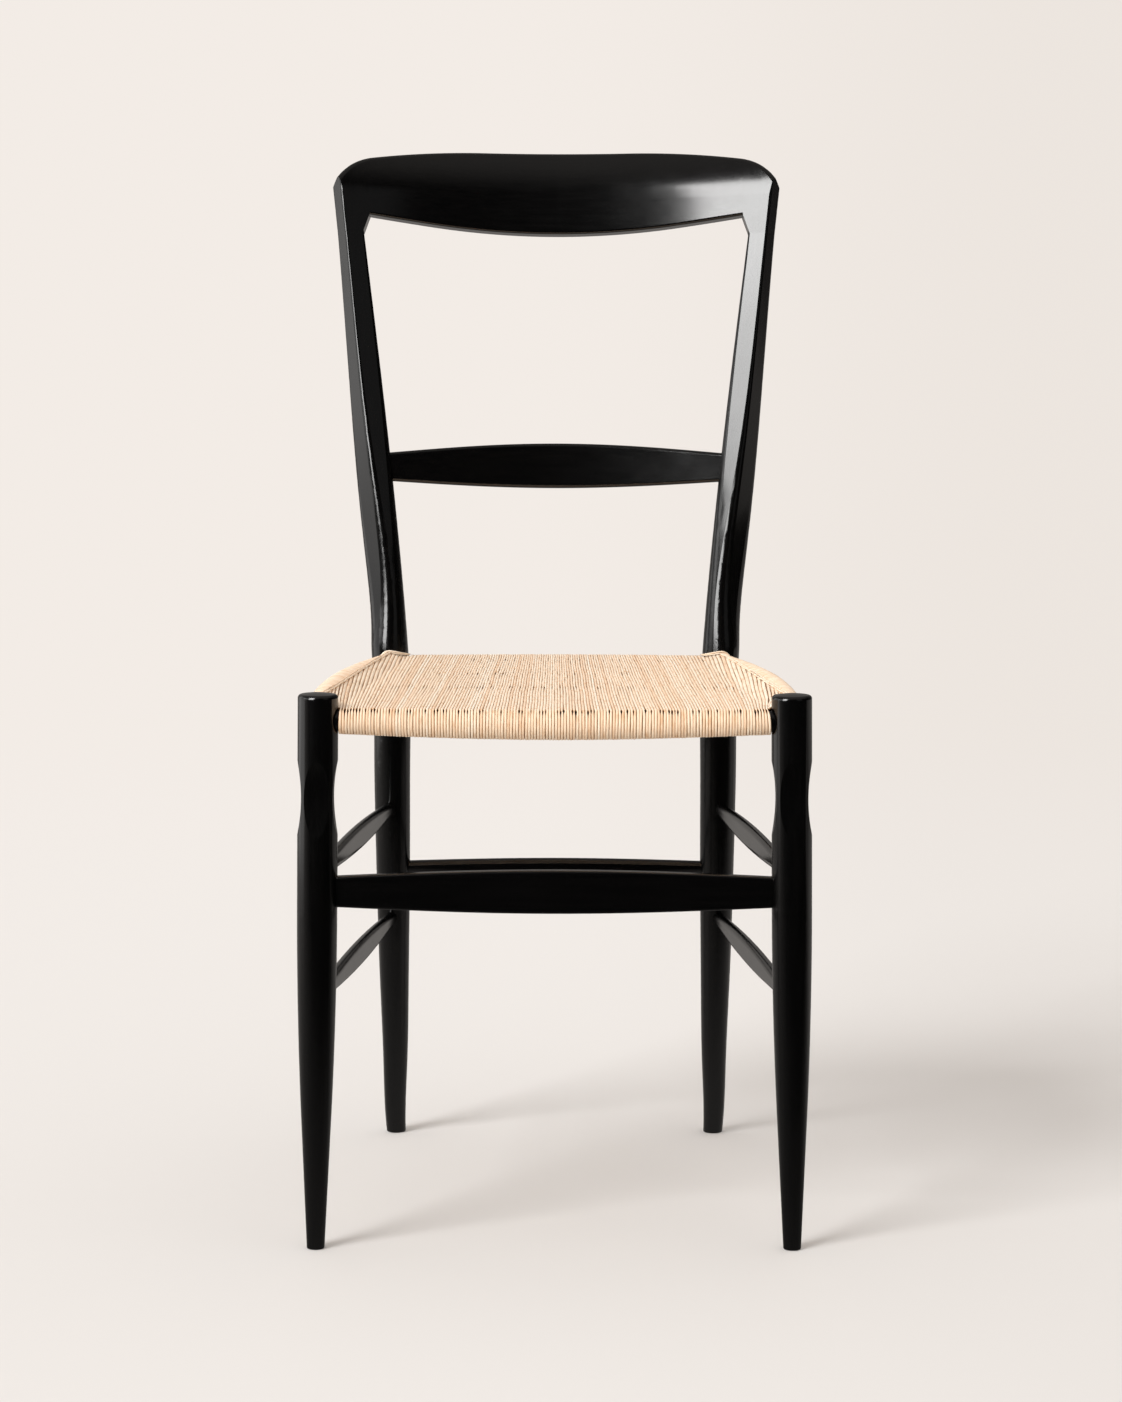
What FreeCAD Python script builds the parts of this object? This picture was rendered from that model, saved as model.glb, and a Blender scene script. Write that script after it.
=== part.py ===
"""A slender side chair: a black lacquered frame with bored and mortised joints, and a woven cane seat.

Millimetres, +Z up, the front of the chair faces -Y.
The frame is laid out with Y measured from the axes of the front legs, and the right side is at +X.
At the end everything is shifted so that the origin is on the floor, at the middle of the outer box.
"""
import FreeCAD
import Part
import math
import os

# Front legs
LEG_HEIGHT = 455.0              # floor to the top of the domed cap
LEG_SPACING = 378.4             # axis to axis at the caps
LEG_SPLAY = 4.7                 # each foot stands this far outside its cap
LEG_DIAMETER = 32.5
LEG_FOOT_DIAMETER = 14.4
LEG_TAPER_TOP = 0.622 * LEG_HEIGHT          # the leg tapers below this height
LEG_TAPER_STRAIGHT = 0.235 * LEG_HEIGHT     # and the taper runs straight below this one
LEG_CAP_DOME = 1.6
LEG_RIM_ROUND = 3.0
NECK_HEIGHT = 0.8145 * LEG_HEIGHT           # middle of the four scallops
NECK_LENGTH = 61.0
NECK_WIDTH = 25.2               # across two opposite scallops
FOOT_ROUND = 1.0                # of the back posts too

# Back posts, one piece from the foot to the top of the back
POST_FOOT_SPACING = 292.2       # axis to axis
POST_SEAT_SPACING = 294.0
POST_HAUNCH_SPACING = 366.0
POST_SETBACK = 360.0            # post axis behind the front leg axis at the knee
POST_FOOT_SWEEP = 40.0          # the foot stands this far behind the knee
POST_DIAMETER = 32.5            # round part, at the seat
POST_FOOT_DIAMETER = 17.3
POST_HEAD_WIDTH = 18.4          # front facet at the haunch
POST_SKEW = 4.0                 # the outer facet turns out by this much over the post's depth
POST_HEAD_INSET = 0.7           # and the ridge in front of it is set in by this much at the haunch
POST_SHAFT_INSET = 9.5          # most that the ridge is set in further down
KNEE_HEIGHT = LEG_HEIGHT - 35.0             # the post bends back and outwards above this height
ROUND_TOP = LEG_HEIGHT                      # the facets grow above this height
HAUNCH_HEIGHT = LEG_HEIGHT + 367.0          # the post widens here to take the crest rail
BEND_POWER = 1.3                # shape of the backward bend above the knee
FLARE_POWER = 1.2               # shape of the outward bend above the knee
SWEEP_POWER = 1.6               # shape of the sweep below the knee
ROUND_TURN = 30.0               # degrees that the section is turned where the facets fade out
SLIM_POWER = 1.2                # how the width falls from the round part to the head
EDGE_POWER = 2.0                # how fast the round corners sharpen
RIDGE_POWER = 2.4               # and how fast the ridge does
OUTER_EDGE_POWER = 4.0          # and the outer back corner
SKEW_POWER = 14.0               # how fast the outer facet turns out above the round part
INSET_POWER = 5                 # how fast the ridge's inset fades upwards
RIDGE_ROUND = 2.2               # corner between the front and outer facets
INNER_FRONT_ROUND = 2.5
OUTER_BACK_ROUND = 4.0
INNER_BACK_ROUND = 4.0

# Crest rail, laid out in the leaning plane of the back, heights measured from the haunch
BACK_LEAN = 10.0                # degrees
CREST_THICKNESS = 18.0
CREST_RADIUS = 560.0            # plan curve of the front face
CREST_SEAM = 167.5              # half the length between the two posts
CREST_TOP = 79.2
CREST_SHOULDER_X = 114.5        # the top line turns down here
CREST_SHOULDER_BLEND = 50.0
CREST_CORNER_X = 196.7          # and again at the outer corner
CREST_CORNER_TOP = 64.3
CREST_CORNER_BLEND = 31.5
CREST_SIDE_X = 202.2            # the outer corner's side line passes here
CREST_SIDE_TOP = 37.5
CREST_BOTTOM_MIDDLE = 4.0
CREST_BOTTOM_END = 17.0         # the haunch slopes down from here to the post
CREST_BOTTOM_FLAT = 57.0        # straight length of the lower edge at each end
CREST_ROLL_START = 35.0         # the front face rolls back above this height
CREST_ROLL_RADIUS = 110.0
CREST_TOP_ROUND = 4.0
CREST_BOTTOM_ROUND = 2.5
CREST_TENON_LENGTH = 14.0
CREST_TENON_THICKNESS = 7.0
CREST_TENON_HEIGHT = 24.0
HAUNCH_RUN = 9.7                # width of the sloping haunch
HAUNCH_DROP = 11.0              # its foot is inside the post, this far below the haunch height

# Back slat
SLAT_HEIGHT = LEG_HEIGHT + 159.4
SLAT_THICKNESS = 9.5
SLAT_END_WIDTH = 25.6
SLAT_MIDDLE_WIDTH = 40.2
SLAT_BOW = 20.0
SLAT_EDGE_ROUND = 3.0
SLAT_TENON = 8.0

# Stretchers
FRONT_STRETCHER_HEIGHT = 0.6466 * LEG_HEIGHT
FRONT_STRETCHER_THICKNESS = 10.0
FRONT_STRETCHER_END_WIDTH = 24.8
FRONT_STRETCHER_MIDDLE_WIDTH = 35.2
FRONT_STRETCHER_EDGE_ROUND = 2.0
BACK_STRETCHER_HEIGHT = 0.5543 * LEG_HEIGHT
BACK_STRETCHER_END = 11.8
BACK_STRETCHER_MIDDLE_WIDTH = 16.8
BACK_STRETCHER_MIDDLE_THICKNESS = 11.8
UPPER_SIDE_STRETCHER_HEIGHT = 0.6787 * LEG_HEIGHT
LOWER_SIDE_STRETCHER_HEIGHT = 0.4549 * LEG_HEIGHT
SIDE_STRETCHER_END = 10.0
SIDE_STRETCHER_MIDDLE_WIDTH = 20.7
SIDE_STRETCHER_MIDDLE_THICKNESS = 9.0
STRETCHER_TENON = 10.0

# Seat rails, hidden inside the cane
SEAT_RAIL_END = 17.0
SEAT_RAIL_MIDDLE = 20.5
SIDE_RAIL_END = 17.0
FRONT_RAIL_HEIGHT = LEG_HEIGHT - 22.5
FRONT_RAIL_SAG = 3.0
BACK_RAIL_HEIGHT = LEG_HEIGHT - 19.0
BACK_RAIL_SAG = 1.0
SIDE_RAIL_FRONT_HEIGHT = LEG_HEIGHT - 14.0
SIDE_RAIL_BACK_HEIGHT = LEG_HEIGHT - 16.0
SIDE_RAIL_BOW = 9.0
SIDE_RAIL_CROWN = 1.5
SIDE_RAIL_LEAD = 0.8            # below 1 the bow is fullest nearer the front
SIDE_RAIL_TENON = 9.0

# Cane seat
CANE_THICKNESS = 2.0

# Fits
JOINT_CLEARANCE = 0.15          # all round a tenon in its mortise
JOINT_WEB = 0.7                 # wood left between two mortises that meet in a post
MORTISE_GAP = 2 * JOINT_CLEARANCE + JOINT_WEB   # between two tenons in one post
TENON_ROOT = 2.0                # depth of a member in its post before the tenon, and of a tenon in the crest
CANE_GAP = 0.4                  # between the cane and what it wraps or passes

# Section of the round members: the arcs take this share of the half width
ROUNDNESS = 0.96
INSET_PEAK = INSET_POWER ** INSET_POWER / (INSET_POWER + 1) ** (INSET_POWER + 1)    # of the ridge's inset
BLEND_ROOM = 0.98               # two roundings take up to this share of the side between them
LOFT_STEPS = 6
LOWER_POST_STEPS = 6
UPPER_POST_STEPS = 24
HEAD_REACH = 2 * CREST_TOP      # blanks and cutters of the head run this far before they are trimmed
TOUCH = 0.01                    # an edge this near a level lies on it

V = FreeCAD.Vector
X_AXIS = V(1, 0, 0)
Z_AXIS = V(0, 0, 1)


def line(a, b):
    return Part.LineSegment(a, b).toShape()


def rounding(before, corner, after, blend):
    """The three points of the arc that rounds a corner, blend being the length cut off each side."""
    to_before = (before - corner).normalize()
    to_after = (after - corner).normalize()
    half_angle = to_before.getAngle(to_after) / 2
    radius = blend * math.tan(half_angle)
    towards_centre = (to_before + to_after).normalize()
    nearest = radius / math.sin(half_angle) - radius
    return corner + to_before * blend, corner + towards_centre * nearest, corner + to_after * blend


def rounded_loop(corners, blends):
    """A closed wire through corners, each rounded by its blend; a corner with no blend stays sharp."""
    count = len(corners)
    arcs = []
    for i, corner in enumerate(corners):
        if blends[i] > 0:
            arcs.append(rounding(corners[i - 1], corner, corners[(i + 1) % count], blends[i]))
        else:
            arcs.append((corner, corner, corner))
    edges = []
    for i in range(count):
        start, middle, end = arcs[i]
        if blends[i] > 0:
            edges.append(Part.Arc(start, middle, end).toShape())
        edges.append(line(end, arcs[(i + 1) % count][0]))
    return Part.Wire(edges)


def blends_for_radii(corners, radii):
    """Turn corner radii into the lengths that the rounding cuts off each side, as far as there is room."""
    count = len(corners)
    blends = []
    for i, corner in enumerate(corners):
        to_before = corners[i - 1] - corner
        to_after = corners[(i + 1) % count] - corner
        blends.append(radii[i] / math.tan(to_before.getAngle(to_after) / 2))
    sides = [(corner - before).Length for before, corner in zip(corners[-1:] + corners, corners)]
    room = [BLEND_ROOM * side / (blends[i] + blends[i - 1]) for i, side in enumerate(sides)]
    return [blend * min(1.0, room[i], room[(i + 1) % count]) for i, blend in enumerate(blends)]


def same_level(edge, measure, levels):
    """Whether an edge lies all along one of some levels of a measure of its points."""
    first, last = edge.ParameterRange
    points = [edge.valueAt(first + (last - first) * share) for share in (0.0, 0.5, 1.0)]
    values = [measure(p) for p in points]
    return any(all(abs(value - level) < TOUCH for value in values) for level in levels)


def rounded_sole(shape):
    sole_edges = [e for e in shape.Edges if same_level(e, lambda p: p.z, (0.0,))]
    return shape.makeFillet(FOOT_ROUND, sole_edges)


def single(shape):
    """The one solid inside a boolean result, or the result itself."""
    return shape.Solids[0] if len(shape.Solids) == 1 else shape


def mirrored(shape):
    return shape.mirror(V(0, 0, 0), X_AXIS)


# Front legs

def leg_axis(z):
    return V(LEG_SPACING / 2 + LEG_SPLAY * (1 - z / LEG_HEIGHT), 0, z)


def leg_radius(z):
    """Radius of the front leg: straight taper, a tangent arc, then a cylinder."""
    full = LEG_DIAMETER / 2
    corner = (LEG_TAPER_TOP + LEG_TAPER_STRAIGHT) / 2
    slope = (full - LEG_FOOT_DIAMETER / 2) / corner
    if z >= LEG_TAPER_TOP:
        return full
    if z <= LEG_TAPER_STRAIGHT:
        return LEG_FOOT_DIAMETER / 2 + slope * z
    return full - slope * (LEG_TAPER_TOP - z) ** 2 / (2 * (LEG_TAPER_TOP - LEG_TAPER_STRAIGHT))


def leg_blank():
    """Turned leg on its own vertical axis, carried a little below the floor."""
    full = LEG_DIAMETER / 2
    below = LEG_FOOT_DIAMETER
    rim_height = LEG_HEIGHT - LEG_CAP_DOME
    dome_radius = (full ** 2 + LEG_CAP_DOME ** 2) / (2 * LEG_CAP_DOME)
    half = math.asin(full / dome_radius) / 2
    dome_middle = V(dome_radius * math.sin(half), 0, LEG_HEIGHT - dome_radius * (1 - math.cos(half)))
    taper_middle = (LEG_TAPER_TOP + LEG_TAPER_STRAIGHT) / 2
    axis_bottom = V(0, 0, -below)
    foot = V(leg_radius(-below), 0, -below)
    taper_start = V(leg_radius(LEG_TAPER_STRAIGHT), 0, LEG_TAPER_STRAIGHT)
    taper_bend = V(leg_radius(taper_middle), 0, taper_middle)
    taper_end = V(full, 0, LEG_TAPER_TOP)
    rim = V(full, 0, rim_height)
    top = V(0, 0, LEG_HEIGHT)
    profile = Part.Wire([
        line(axis_bottom, foot),
        line(foot, taper_start),
        Part.Arc(taper_start, taper_bend, taper_end).toShape(),
        line(taper_end, rim),
        Part.Arc(rim, dome_middle, top).toShape(),
        line(top, axis_bottom),
    ])
    blank = Part.Face(profile).revolve(V(0, 0, 0), Z_AXIS, 360)
    rim_edges = [e for e in blank.Edges if same_level(e, lambda p: p.z, (rim_height,))]
    return blank.makeFillet(LEG_RIM_ROUND, rim_edges)


def scallop_cutters():
    """Four round cutters that hollow the neck from the front, the back and both sides."""
    sagitta = (LEG_DIAMETER - NECK_WIDTH) / 2
    radius = ((NECK_LENGTH / 2) ** 2 + sagitta ** 2) / (2 * sagitta)
    reach = NECK_WIDTH / 2 + radius
    cutters = []
    for quarter in range(4):
        outwards = V(math.cos(quarter * math.pi / 2), math.sin(quarter * math.pi / 2), 0)
        across = V(-outwards.y, outwards.x, 0)
        base = outwards * reach + V(0, 0, NECK_HEIGHT) - across * LEG_DIAMETER
        cutters.append(Part.makeCylinder(radius, 2 * LEG_DIAMETER, base, across))
    return cutters


def right_leg(members):
    leg = leg_blank().cut(scallop_cutters())
    leg.rotate(V(0, 0, LEG_HEIGHT), V(0, 1, 0), -math.degrees(math.atan2(LEG_SPLAY, LEG_HEIGHT)))
    leg.translate(V(LEG_SPACING / 2, 0, 0))
    side = 4 * LEG_DIAMETER
    below_floor = Part.makeBox(side, side, side, leg_axis(0) - V(side / 2, side / 2, side))
    leg = single(leg.cut(below_floor))
    leg = rounded_sole(leg)
    return single(leg.cut([member_solid(m, JOINT_CLEARANCE) for m in members]))


# Back posts

def seam_angle():
    """Plan angle of the crest's front face where it meets the post, which the head's facet follows."""
    return math.asin(CREST_SEAM / CREST_RADIUS)


def post_end_slopes():
    """Slopes dx/dz and dy/dz of the post's axis at the haunch.

    The head runs on straight from there, within the plane of its own front facet.
    """
    lean = math.radians(BACK_LEAN)
    flare = (POST_HAUNCH_SPACING - POST_SEAT_SPACING) / 2
    slope_x = flare * FLARE_POWER / (HAUNCH_HEIGHT - KNEE_HEIGHT)
    drop = math.tan(seam_angle())
    along_z = math.cos(lean) / (1 - slope_x * drop * math.sin(lean))
    along_y = math.sin(lean) - slope_x * along_z * drop * math.cos(lean)
    return slope_x, along_y / along_z


def post_axis(z):
    """Centre of the right post at a height."""
    if z < KNEE_HEIGHT:
        fall = ((KNEE_HEIGHT - z) / KNEE_HEIGHT) ** SWEEP_POWER
        x = POST_SEAT_SPACING / 2 + (POST_FOOT_SPACING - POST_SEAT_SPACING) / 2 * fall
        return V(x, POST_SETBACK + POST_FOOT_SWEEP * fall, z)
    slope_x, slope_y = post_end_slopes()
    reach = HAUNCH_HEIGHT - KNEE_HEIGHT
    rise = (z - KNEE_HEIGHT) / reach
    flare = slope_x * reach / FLARE_POWER * rise ** FLARE_POWER
    bend = slope_y * reach / BEND_POWER * rise ** BEND_POWER
    return V(POST_SEAT_SPACING / 2 + flare, POST_SETBACK + bend, z)


def post_tilt(z):
    """Lean of the post's section, in radians: level up to the knee, square to the crest at the haunch."""
    rise = (z - KNEE_HEIGHT) / (HAUNCH_HEIGHT - KNEE_HEIGHT)
    return math.radians(BACK_LEAN) * max(0.0, rise)


def post_diameter(z):
    fall = max(0.0, (KNEE_HEIGHT - z) / KNEE_HEIGHT)
    return POST_DIAMETER - (POST_DIAMETER - POST_FOOT_DIAMETER) * fall ** 2


def post_section(z):
    """Closed wire of the right post at a height: round below, four facets with a sharp ridge above."""
    grown = max(0.0, (z - ROUND_TOP) / (HAUNCH_HEIGHT - ROUND_TOP))
    left = 1 - grown
    diameter = post_diameter(z)
    round_radius = ROUNDNESS * diameter / 2
    width = POST_HEAD_WIDTH + (diameter - POST_HEAD_WIDTH) * left ** SLIM_POWER
    depth = CREST_THICKNESS + (diameter - CREST_THICKNESS) * left
    skew = POST_SKEW * (1 - left ** SKEW_POWER)
    inset = POST_HEAD_INSET * grown + POST_SHAFT_INSET * left ** INSET_POWER * grown / INSET_PEAK
    turn = math.radians(ROUND_TURN) * left + seam_angle() * grown
    inner_front = INNER_FRONT_ROUND + (round_radius - INNER_FRONT_ROUND) * left ** EDGE_POWER
    ridge = RIDGE_ROUND + (round_radius - RIDGE_ROUND) * left ** RIDGE_POWER
    outer_back = OUTER_BACK_ROUND + (round_radius - OUTER_BACK_ROUND) * left ** OUTER_EDGE_POWER
    inner_back = INNER_BACK_ROUND + (round_radius - INNER_BACK_ROUND) * left ** EDGE_POWER

    tilt = post_tilt(z)
    backwards = V(0, math.cos(tilt), -math.sin(tilt))
    along_facet = X_AXIS * math.cos(turn) - backwards * math.sin(turn)
    into_depth = X_AXIS * math.sin(turn) + backwards * math.cos(turn)
    centre = post_axis(z)
    corners = [
        centre - along_facet * (width / 2) - into_depth * (depth / 2),
        centre + along_facet * (width / 2 - inset) - into_depth * (depth / 2),
        centre + along_facet * (width / 2 + skew) + into_depth * (depth / 2),
        centre - along_facet * (width / 2) + into_depth * (depth / 2),
    ]
    radii = [inner_front, ridge, outer_back, inner_back]
    return rounded_loop(corners, blends_for_radii(corners, radii))


def post_inner_face(z):
    return post_section(z).BoundBox.XMin


# The leaning frame of the crest: x across, n backwards through the thickness, w up from the haunch

def lean_vectors():
    lean = math.radians(BACK_LEAN)
    return V(0, math.cos(lean), -math.sin(lean)), V(0, math.sin(lean), math.cos(lean))


def head_point(x, n, w):
    backwards, upwards = lean_vectors()
    origin = post_axis(HAUNCH_HEIGHT)
    return V(x, origin.y, origin.z) + backwards * n + upwards * w


def head_coordinates(point):
    backwards, upwards = lean_vectors()
    origin = post_axis(HAUNCH_HEIGHT)
    offset = V(0, point.y - origin.y, point.z - origin.z)
    return point.x, offset.dot(backwards), offset.dot(upwards)


def head_middle(x):
    """Depth n of the middle plane of the right post's head at x."""
    return -(x - POST_HAUNCH_SPACING / 2) * math.tan(seam_angle())


def crest_centre():
    """Depth n of the axis that the crest's plan curve turns about, well in front of the chair."""
    front_at_seam = head_middle(CREST_SEAM) - CREST_THICKNESS / 2 / math.cos(seam_angle())
    return front_at_seam - CREST_RADIUS * math.cos(seam_angle())


def crest_outline(lower_corners, lower_blends, bottom=0.0):
    """Prism of the back's front outline: the crest's top line and sides over the given lower corners."""
    side_slope = (CREST_SIDE_X - CREST_CORNER_X) / (CREST_CORNER_TOP - CREST_SIDE_TOP)
    side_bottom_x = CREST_SIDE_X + side_slope * (CREST_SIDE_TOP - bottom)
    upper = [
        (-side_bottom_x, bottom, 0.0),
        (-CREST_CORNER_X, CREST_CORNER_TOP, CREST_CORNER_BLEND),
        (-CREST_SHOULDER_X, CREST_TOP, CREST_SHOULDER_BLEND),
        (CREST_SHOULDER_X, CREST_TOP, CREST_SHOULDER_BLEND),
        (CREST_CORNER_X, CREST_CORNER_TOP, CREST_CORNER_BLEND),
        (side_bottom_x, bottom, 0.0),
    ]
    corners = [head_point(x, -HEAD_REACH, w) for x, w, blend in upper]
    corners += [head_point(x, -HEAD_REACH, w) for x, w in lower_corners]
    blends = [blend for x, w, blend in upper] + lower_blends
    backwards, upwards = lean_vectors()
    return Part.Face(rounded_loop(corners, blends)).extrude(backwards * (2 * HEAD_REACH))


def head_box(x_range, n_range, w_range):
    """Box in the leaning frame of the crest."""
    backwards, upwards = lean_vectors()
    corners = [
        head_point(x_range[0], n_range[0], w_range[0]),
        head_point(x_range[1], n_range[0], w_range[0]),
        head_point(x_range[1], n_range[0], w_range[1]),
        head_point(x_range[0], n_range[0], w_range[1]),
    ]
    face = Part.Face(Part.makePolygon(corners + corners[:1]))
    return face.extrude(backwards * (n_range[1] - n_range[0]))


def crest_tenon(allowance):
    """The right-hand tenon of the crest, or its mortise when an allowance is given."""
    middle = (CREST_BOTTOM_END + CREST_CORNER_TOP) / 2
    half_height = CREST_TENON_HEIGHT / 2 + allowance
    half_thickness = CREST_TENON_THICKNESS / 2 + allowance
    n = head_middle(CREST_SEAM + CREST_TENON_LENGTH / 2)
    x_range = (CREST_SEAM - TENON_ROOT, CREST_SEAM + CREST_TENON_LENGTH + allowance)
    return head_box(x_range, (n - half_thickness, n + half_thickness),
                    (middle - half_height, middle + half_height))


def back_profile(place):
    """Closed wire of the back's section: flat in front and behind, rolled back in front near the top.

    place turns a depth behind the front face and a height above the haunch into a point.
    """
    bottom = -CREST_THICKNESS
    top = CREST_TOP + CREST_TOP_ROUND
    roll_angle = math.asin((top - CREST_ROLL_START) / CREST_ROLL_RADIUS)

    def rolled(angle):
        depth = CREST_ROLL_RADIUS * (1 - math.cos(angle))
        return place(depth, CREST_ROLL_START + CREST_ROLL_RADIUS * math.sin(angle))

    return Part.Wire([
        line(place(0, bottom), rolled(0)),
        Part.Arc(rolled(0), rolled(roll_angle / 2), rolled(roll_angle)).toShape(),
        line(rolled(roll_angle), place(CREST_THICKNESS, top)),
        line(place(CREST_THICKNESS, top), place(CREST_THICKNESS, bottom)),
        line(place(CREST_THICKNESS, bottom), place(0, bottom)),
    ])


def rim_edges(solid, lowest, highest):
    """Edges between the outline's own faces and the broad faces, with their middles between two heights."""
    backwards, upwards = lean_vectors()

    def on_outline(face):
        u_first, u_last, v_first, v_last = face.ParameterRange
        normal = face.normalAt((u_first + u_last) / 2, (v_first + v_last) / 2)
        return abs(normal.dot(backwards)) < TOUCH and abs(normal.x) < 1 - TOUCH

    found = []
    for edge in solid.Edges:
        faces = solid.ancestorsOfType(edge, Part.Face)
        height = head_coordinates(edge.CenterOfMass)[2]
        seam = any(abs(face.normalAt(0, 0).x) > 1 - TOUCH for face in faces)
        if lowest < height < highest and not seam and sum(on_outline(face) for face in faces) == 1:
            found.append(edge)
    return found


def crest_rail():
    """Bowed board between the posts with rolled edges, lower in the middle than at its ends."""
    centre = crest_centre()
    backwards, upwards = lean_vectors()
    profile = back_profile(lambda depth, w: head_point(0, centre + CREST_RADIUS + depth, w))
    bowed = Part.Face(profile).revolve(head_point(0, centre, 0), upwards, 360)
    curve_length = CREST_SEAM - CREST_BOTTOM_FLAT
    fall = CREST_BOTTOM_END - CREST_BOTTOM_MIDDLE
    slope = fall / (curve_length / 2 + CREST_BOTTOM_FLAT)
    corner_w = CREST_BOTTOM_END - slope * CREST_SEAM
    far_x = CREST_SIDE_X + CREST_THICKNESS
    far_w = corner_w + slope * far_x
    lower = [(far_x, far_w), (0.0, corner_w), (-far_x, far_w)]
    outline = crest_outline(lower, [0.0, curve_length * math.hypot(1, slope), 0.0])
    between = head_box((-CREST_SEAM, CREST_SEAM), (-HEAD_REACH, HEAD_REACH), (-CREST_THICKNESS, HEAD_REACH))
    rail = single(outline.common(between).common(bowed))
    split = (CREST_BOTTOM_END + CREST_CORNER_TOP) / 2
    rail = rail.makeFillet(CREST_TOP_ROUND, rim_edges(rail, split, HEAD_REACH))
    rail = rail.makeFillet(CREST_BOTTOM_ROUND, rim_edges(rail, -HEAD_REACH, split))
    tenon = crest_tenon(0.0)
    return single(rail.fuse([tenon, mirrored(tenon)]))


def head_slab():
    """The layer between the head's front and back facets, under the rolled top line."""
    turn = seam_angle()
    backwards, upwards = lean_vectors()
    along = X_AXIS * math.cos(turn) - backwards * math.sin(turn)
    through = X_AXIS * math.sin(turn) + backwards * math.cos(turn)
    reach = CREST_SIDE_X - CREST_SEAM + CREST_THICKNESS
    centre = V(POST_HAUNCH_SPACING / 2, 0, 0) + head_point(0, 0, 0)
    inner_front = centre - through * (CREST_THICKNESS / 2) - along * reach
    profile = back_profile(lambda depth, w: inner_front + through * depth + upwards * w)
    slab = Part.Face(profile).extrude(along * (2 * reach))
    slab = single(slab.common(crest_outline([], [], -HAUNCH_DROP)))
    return slab.makeFillet(CREST_TOP_ROUND, rim_edges(slab, TOUCH, HEAD_REACH))


def post_head():
    """Top of the right post: the post's own section run on, widened by the haunch, under the top line."""
    slope_x, slope_y = post_end_slopes()
    direction = V(slope_x, slope_y, 1).normalize()
    backwards, upwards = lean_vectors()
    column = Part.Face(post_section(HAUNCH_HEIGHT)).extrude(direction * (HEAD_REACH / direction.dot(upwards)))
    inside = POST_HAUNCH_SPACING / 2
    haunch_corners = [
        head_point(CREST_SEAM, -HEAD_REACH, CREST_BOTTOM_END),
        head_point(CREST_SEAM + HAUNCH_RUN, -HEAD_REACH, -HAUNCH_DROP),
        head_point(inside, -HEAD_REACH, -HAUNCH_DROP),
        head_point(inside, -HEAD_REACH, HEAD_REACH),
        head_point(CREST_SEAM, -HEAD_REACH, HEAD_REACH),
    ]
    haunch = Part.Face(Part.makePolygon(haunch_corners + haunch_corners[:1]))
    haunch = haunch.extrude(backwards * (2 * HEAD_REACH))
    slab = head_slab()
    return single(column.common(slab).fuse(haunch.common(slab)))


def right_post(members):
    lower = [KNEE_HEIGHT * i / LOWER_POST_STEPS for i in range(LOWER_POST_STEPS)]
    step = (HAUNCH_HEIGHT - KNEE_HEIGHT) / UPPER_POST_STEPS
    upper = [KNEE_HEIGHT + step * i for i in range(UPPER_POST_STEPS + 1)]
    shaft = Part.makeLoft([post_section(z) for z in lower + upper], True, False)
    post = single(rounded_sole(shaft).fuse(post_head()))
    cutters = [member_solid(m, JOINT_CLEARANCE) for m in members]
    return single(post.cut(cutters + [crest_tenon(JOINT_CLEARANCE)]))


# Members that join the legs and posts

class Member:
    """A rail or stretcher: its full body runs from start to end, and a tenon goes on past each."""

    def __init__(self, start, end, end_size, middle_size, tenon, edge_round=None, bow=V(0, 0, 0), up=Z_AXIS,
                 lead=1.0):
        self.start = start
        self.end = end
        self.end_size = end_size            # thickness, width
        self.middle_size = middle_size
        self.tenon = tenon
        self.edge_round = edge_round        # None for a round member
        self.bow = bow
        self.lead = lead
        self.along = (end - start).normalize()
        self.up = (up - self.along * up.dot(self.along)).normalize()
        self.across = self.along.cross(self.up)

    def centre(self, share):
        bulge = self.bow * math.sin(math.pi * share ** self.lead)
        return self.start + (self.end - self.start) * share + bulge

    def size(self, share):
        swell = math.sin(math.pi * share)
        return [e + (m - e) * swell for e, m in zip(self.end_size, self.middle_size)]

    def section(self, share, allowance):
        thickness, width = [size + 2 * allowance for size in self.size(share)]
        if self.edge_round is None:
            radius = ROUNDNESS * min(thickness, width) / 2
        else:
            radius = self.edge_round + allowance
        corners = []
        for side, top in ((-1, -1), (1, -1), (1, 1), (-1, 1)):
            offset = self.across * (side * thickness / 2) + self.up * (top * width / 2)
            corners.append(self.centre(share) + offset)
        return rounded_loop(corners, blends_for_radii(corners, [radius] * 4))


def member_solid(member, allowance=0.0):
    """The member itself, or the space that it takes up in a post when an allowance is given."""
    sections = [member.section(i / LOFT_STEPS, allowance) for i in range(LOFT_STEPS + 1)]
    body = Part.makeLoft(sections, True, False)
    length = member.tenon + allowance
    first = Part.Face(sections[0]).extrude(member.along * -length)
    last = Part.Face(sections[-1]).extrude(member.along * length)
    return single(body.fuse([first, last]))


def inset(point, towards, distance):
    return point + (towards - point).normalize() * distance


def cross_member(right_end, end_size, middle_size, tenon, edge_round=None, bow=V(0, 0, 0), up=Z_AXIS):
    """A member that runs from the left side to the same place on the right side."""
    left_end = V(-right_end.x, right_end.y, right_end.z)
    return Member(left_end, right_end, end_size, middle_size, tenon, edge_round, bow, up)


def leg_face(z):
    return leg_axis(z) - X_AXIS * (leg_radius(z) - TENON_ROOT)


def post_face(z):
    return post_axis(z) - X_AXIS * (post_diameter(z) / 2 - TENON_ROOT)


def rail_tenon(host_radius):
    """Depth of a front or back rail's tenon, which stops short of the side rail's mortise."""
    return host_radius - TENON_ROOT - SIDE_RAIL_END / 2 - MORTISE_GAP


def side_stretcher_tenon():
    """Depth of a side stretcher's tenon, which stops short of the front stretcher's mortise."""
    return LEG_DIAMETER / 2 - TENON_ROOT - FRONT_STRETCHER_THICKNESS / 2 - MORTISE_GAP


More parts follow.
